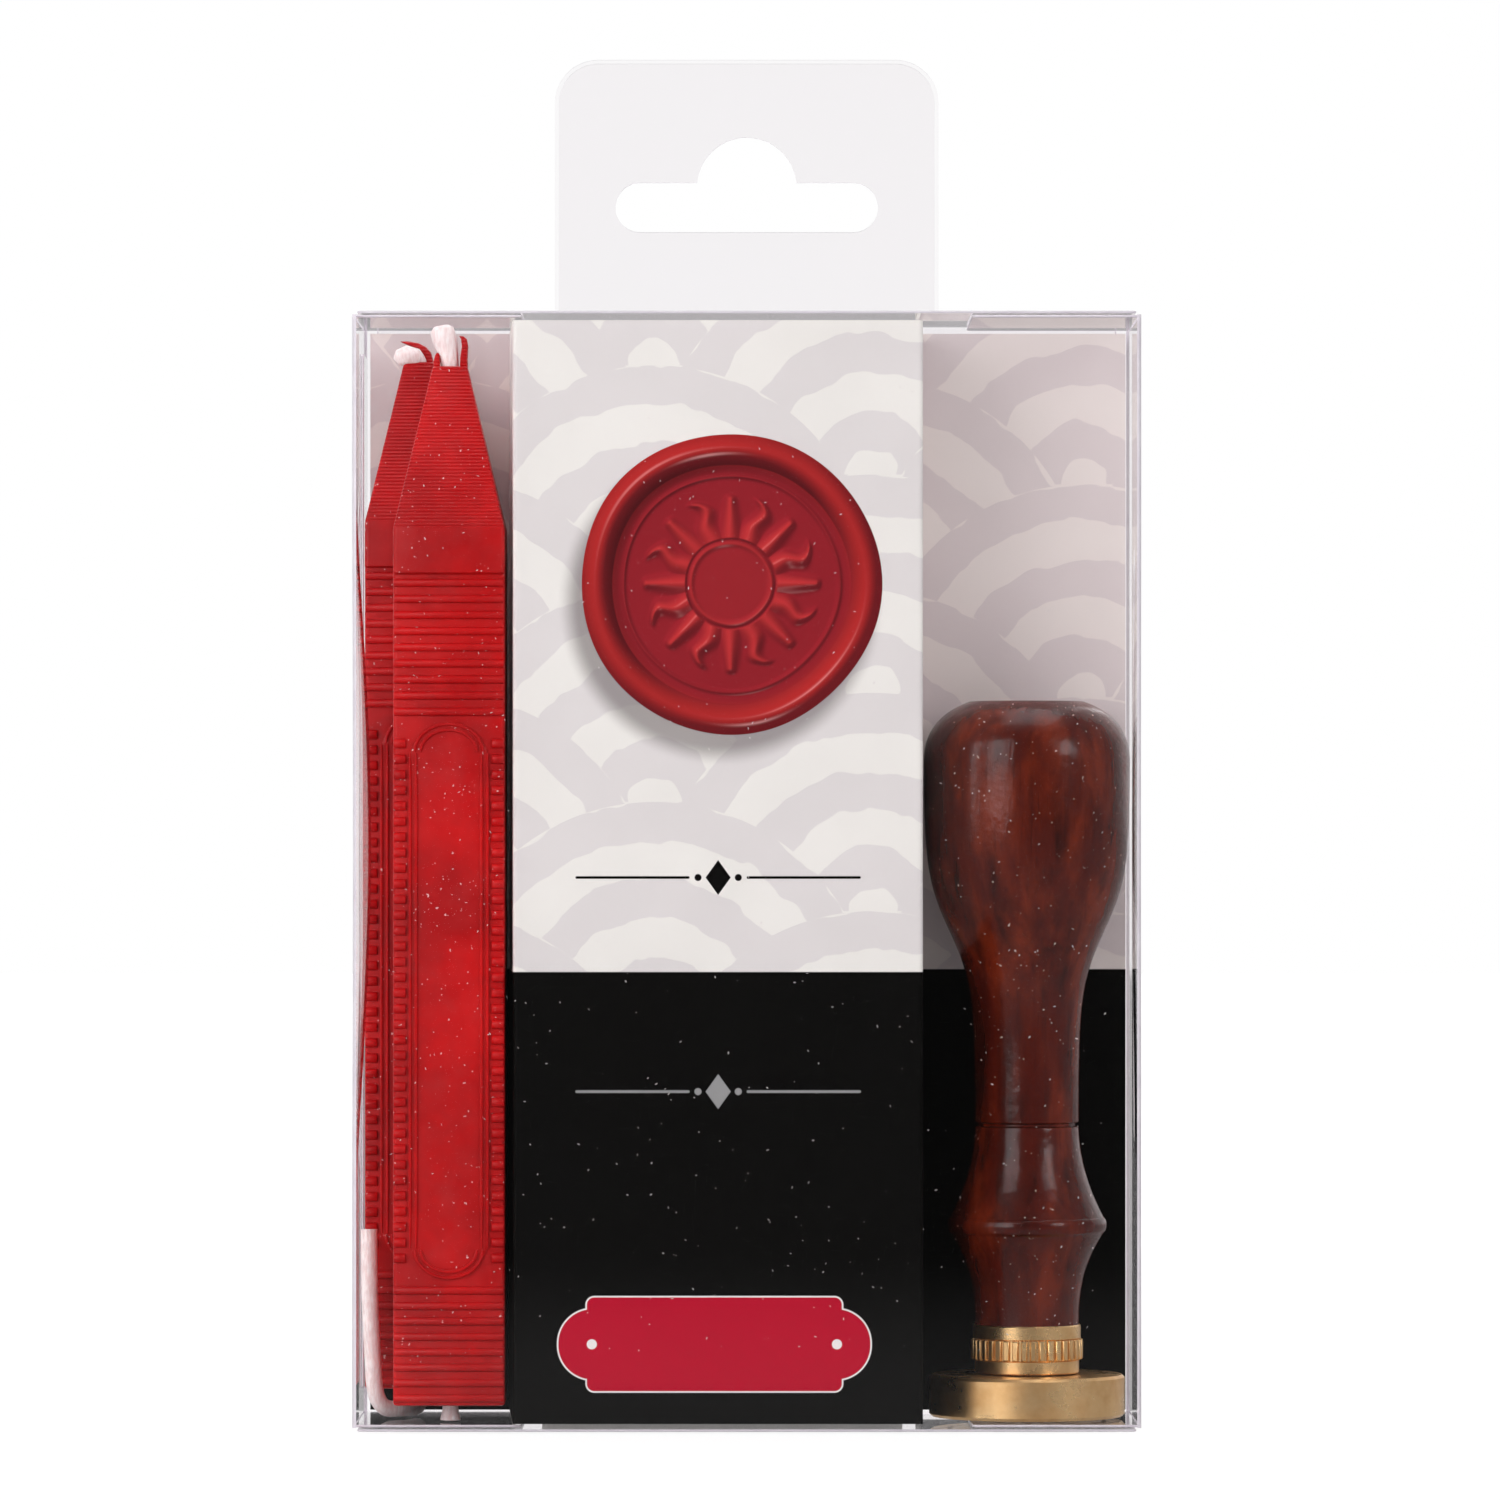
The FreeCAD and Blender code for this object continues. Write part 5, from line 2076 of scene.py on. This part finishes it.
@dataclass
class Studio:
    """A pale floor, a white surround, soft lamps and the camera."""

    focal: float = 201.6
    distance: float = 1.0
    eye: float = 0.0682
    front: float = -0.01475
    shift: Pair = (0.0022, 0.0727)
    floor_half: float = 4000.0
    floor_level: float = -0.3
    ambient: float = 0.42
    dim: float = 0.06
    mirror: float = 0.4
    dim_from: float = -0.5
    dim_to: float = -0.06
    aim: Point = (0.0, 0.0, 0.075)
    lamps: tuple[tuple[str, Point, float, float, float], ...] = (
        ("key_lamp", (-0.55, -0.85, 0.36), 0.5, 0.7, 3.2),
        ("fill_lamp", (0.8, -0.75, 0.45), 0.35, 0.5, 2.0),
        ("left_lamp", (-0.95, -0.42, 0.32), 0.4, 0.6, 2.2),
        ("top_lamp", (0.0, 0.1, 1.1), 0.8, 0.8, 3.6),
        ("back_lamp", (0.0, 1.0, 0.8), 0.8, 0.8, 5.0))

    def build(self) -> None:
        """Sets up the whole studio."""
        self.camera()
        self.floor()
        self.surround()
        for lamp in self.lamps:
            self.lamp(*lamp)
        bpy.context.scene.view_settings.view_transform = "Standard"

    def camera(self) -> None:
        """The photograph's viewpoint."""
        lens = bpy.data.cameras.new("camera")
        lens.sensor_width = 36.0
        lens.lens = self.focal
        lens.shift_x, lens.shift_y = self.shift
        lens.clip_start = 0.01
        made = bpy.data.objects.new("camera", lens)
        made.location = (0.0, self.front - self.distance, self.eye)
        made.rotation_euler = (math.pi / 2, 0.0, 0.0)
        bpy.context.scene.collection.objects.link(made)
        bpy.context.scene.camera = made

    def lamp(self, name: str, place: Point, wide: float, tall: float, power: float) -> None:
        """One soft lamp aimed at the box.

        Args:
            name: The lamp's name.
            place: Where it stands.
            wide: Width of its panel.
            tall: Height of its panel.
            power: Watts.
        """
        light = bpy.data.lights.new(name, "AREA")
        light.shape = "RECTANGLE"
        light.size, light.size_y = wide, tall
        light.energy = power
        made = bpy.data.objects.new(name, light)
        made.location = place
        x, y, z = np.array(self.aim) - np.array(place)
        tilt = math.pi / 2 + math.atan2(z, math.hypot(x, y))
        made.rotation_euler = (tilt, 0.0, math.atan2(y, x) - math.pi / 2)
        bpy.context.scene.collection.objects.link(made)

    def floor(self) -> None:
        """The pale floor, which keeps a faint shadow and glows less near the object, a painted darkening
        round it.
        """
        corners = np.array([(-1, -1), (1, -1), (1, 1), (-1, 1)]) * self.floor_half
        shell = Shell()
        shell.add(at_height(corners, self.floor_level), [(0, 1, 2, 3)])
        made = shell.piece("floor")
        finish, net = new_finish("pale_floor")
        place = net.place(scale=1.0)
        shown, mirrored = self.seen(net)
        near = net.ease(net.axis(place, 1), self.dim_from, self.dim_to, self.dim, self.mirror)
        # Painted shade: the floor's glow dims towards the object, so the floor is darker round the box.
        away = net.ease(net.vector("LENGTH", place), 0.15, 0.6, 0.87, 0.985)
        cover = net.principled(base_color=(0.86, 0.86, 0.86), roughness=0.9, specular_ior_level=0.0)
        faint = net.node("ShaderNodeBsdfDiffuse", {"Color": net.between(mirrored, 0.2, 0.02)}).outputs[0]
        level = net.between(mirrored, away, near)
        glow = net.node("ShaderNodeEmission", {"Color": (1.0, 1.0, 1.0), "Strength": level}).outputs[0]
        white = net.node("ShaderNodeAddShader", {0: faint, 1: glow}).outputs[0]
        net.output(net.node("ShaderNodeMixShader", {0: shown, 1: cover, 2: white}).outputs[0])
        paint(made, finish)

    @staticmethod
    def seen(net: Wiring) -> tuple[Socket, Socket]:
        """Which rays show the background rather than gather light from it.

        Args:
            net: The wiring to add to.

        Returns:
            1 for camera, glossy and transmission rays that left no matt surface, and 1 for those mirrored
            on the way.
        """
        path = net.node("ShaderNodeLightPath").outputs
        shown = net.math("MAXIMUM", path["Is Camera Ray"], path["Is Transmission Ray"])
        shown = net.math("MAXIMUM", shown, path["Is Glossy Ray"])
        shown = net.math("MULTIPLY", shown, net.math("LESS_THAN", path["Diffuse Depth"], 0.5))
        return shown, net.math("GREATER_THAN", path["Glossy Depth"], 0.5)

    def surround(self) -> None:
        """White around the object, dim behind the camera where gloss would mirror it."""
        world = bpy.data.worlds.new("surround")
        bpy.context.scene.world = world
        world.use_nodes = True
        world.node_tree.nodes.clear()
        net = Wiring(world.node_tree)
        way = net.axis(net.node("ShaderNodeTexCoord").outputs["Generated"], 1)
        shown, mirrored = self.seen(net)
        side = net.ease(way, -0.95, -0.1, self.dim, self.mirror)
        side = net.math("ADD", side, net.ease(way, 0.2, 0.75, 0.0, 1.0 - self.mirror))
        lit = net.between(shown, self.ambient, net.between(mirrored, 1.0, side))
        back = net.node("ShaderNodeBackground", {"Color": (1.0, 1.0, 1.0), "Strength": lit}).outputs[0]
        net.node("ShaderNodeOutputWorld", {"Surface": back})


# Each horn's points: shift along X, height above the stick's top, width and depth
FRONT_HORNS = (
    ((1.6, -0.4, 1.0, 2.6), (1.62, 1.2, 0.85, 2.3), (1.75, 2.6, 0.75, 2.0), (1.62, 3.5, 0.7, 1.6),
     (1.3, 3.85, 0.5, 1.0)),
    ((-1.62, -0.4, 0.9, 2.6), (-1.62, 0.8, 0.75, 2.2), (-1.55, 1.5, 0.6, 1.6), (-1.5, 1.85, 0.35, 0.9)),
)
REAR_HORNS = (
    ((0.9, -0.5, 1.5, 2.6), (0.85, 0.5, 1.1, 2.2), (0.55, 1.4, 1.2, 1.9), (-0.3, 2.1, 1.7, 1.7),
     (-1.3, 2.55, 1.9, 1.5), (-2.0, 2.75, 1.2, 1.1)),
    ((-1.62, -0.4, 0.9, 2.6), (-1.6, 0.5, 0.6, 1.9), (-1.5, 1.0, 0.35, 1.0)),
)


def main() -> None:
    """Builds the studio and every sub-assembly in order."""
    logging.basicConfig(level=logging.INFO, format="%(name)s: %(message)s")
    Studio().build()
    Wicks().build()
    FilmBox().build()
    FoldedCard().build()
    bright = WaxFinish("red_wax", srgb(198, 8, 12), srgb(164, 4, 9))
    darker = WaxFinish("red_wax_rear", srgb(190, 11, 17), srgb(156, 7, 13), shoulder=108.85)
    WaxStick("front_wax_stick", "wax_stick_front", -35.5, -7.85, 3.0, bright, FRONT_HORNS).build()
    WaxStick("rear_wax_stick", "wax_stick_rear", -39.45, 4.95, 4.25, darker, REAR_HORNS).build()
    Booklet().build()
    SealStamp().build()


if __name__ == "__main__":
    main()
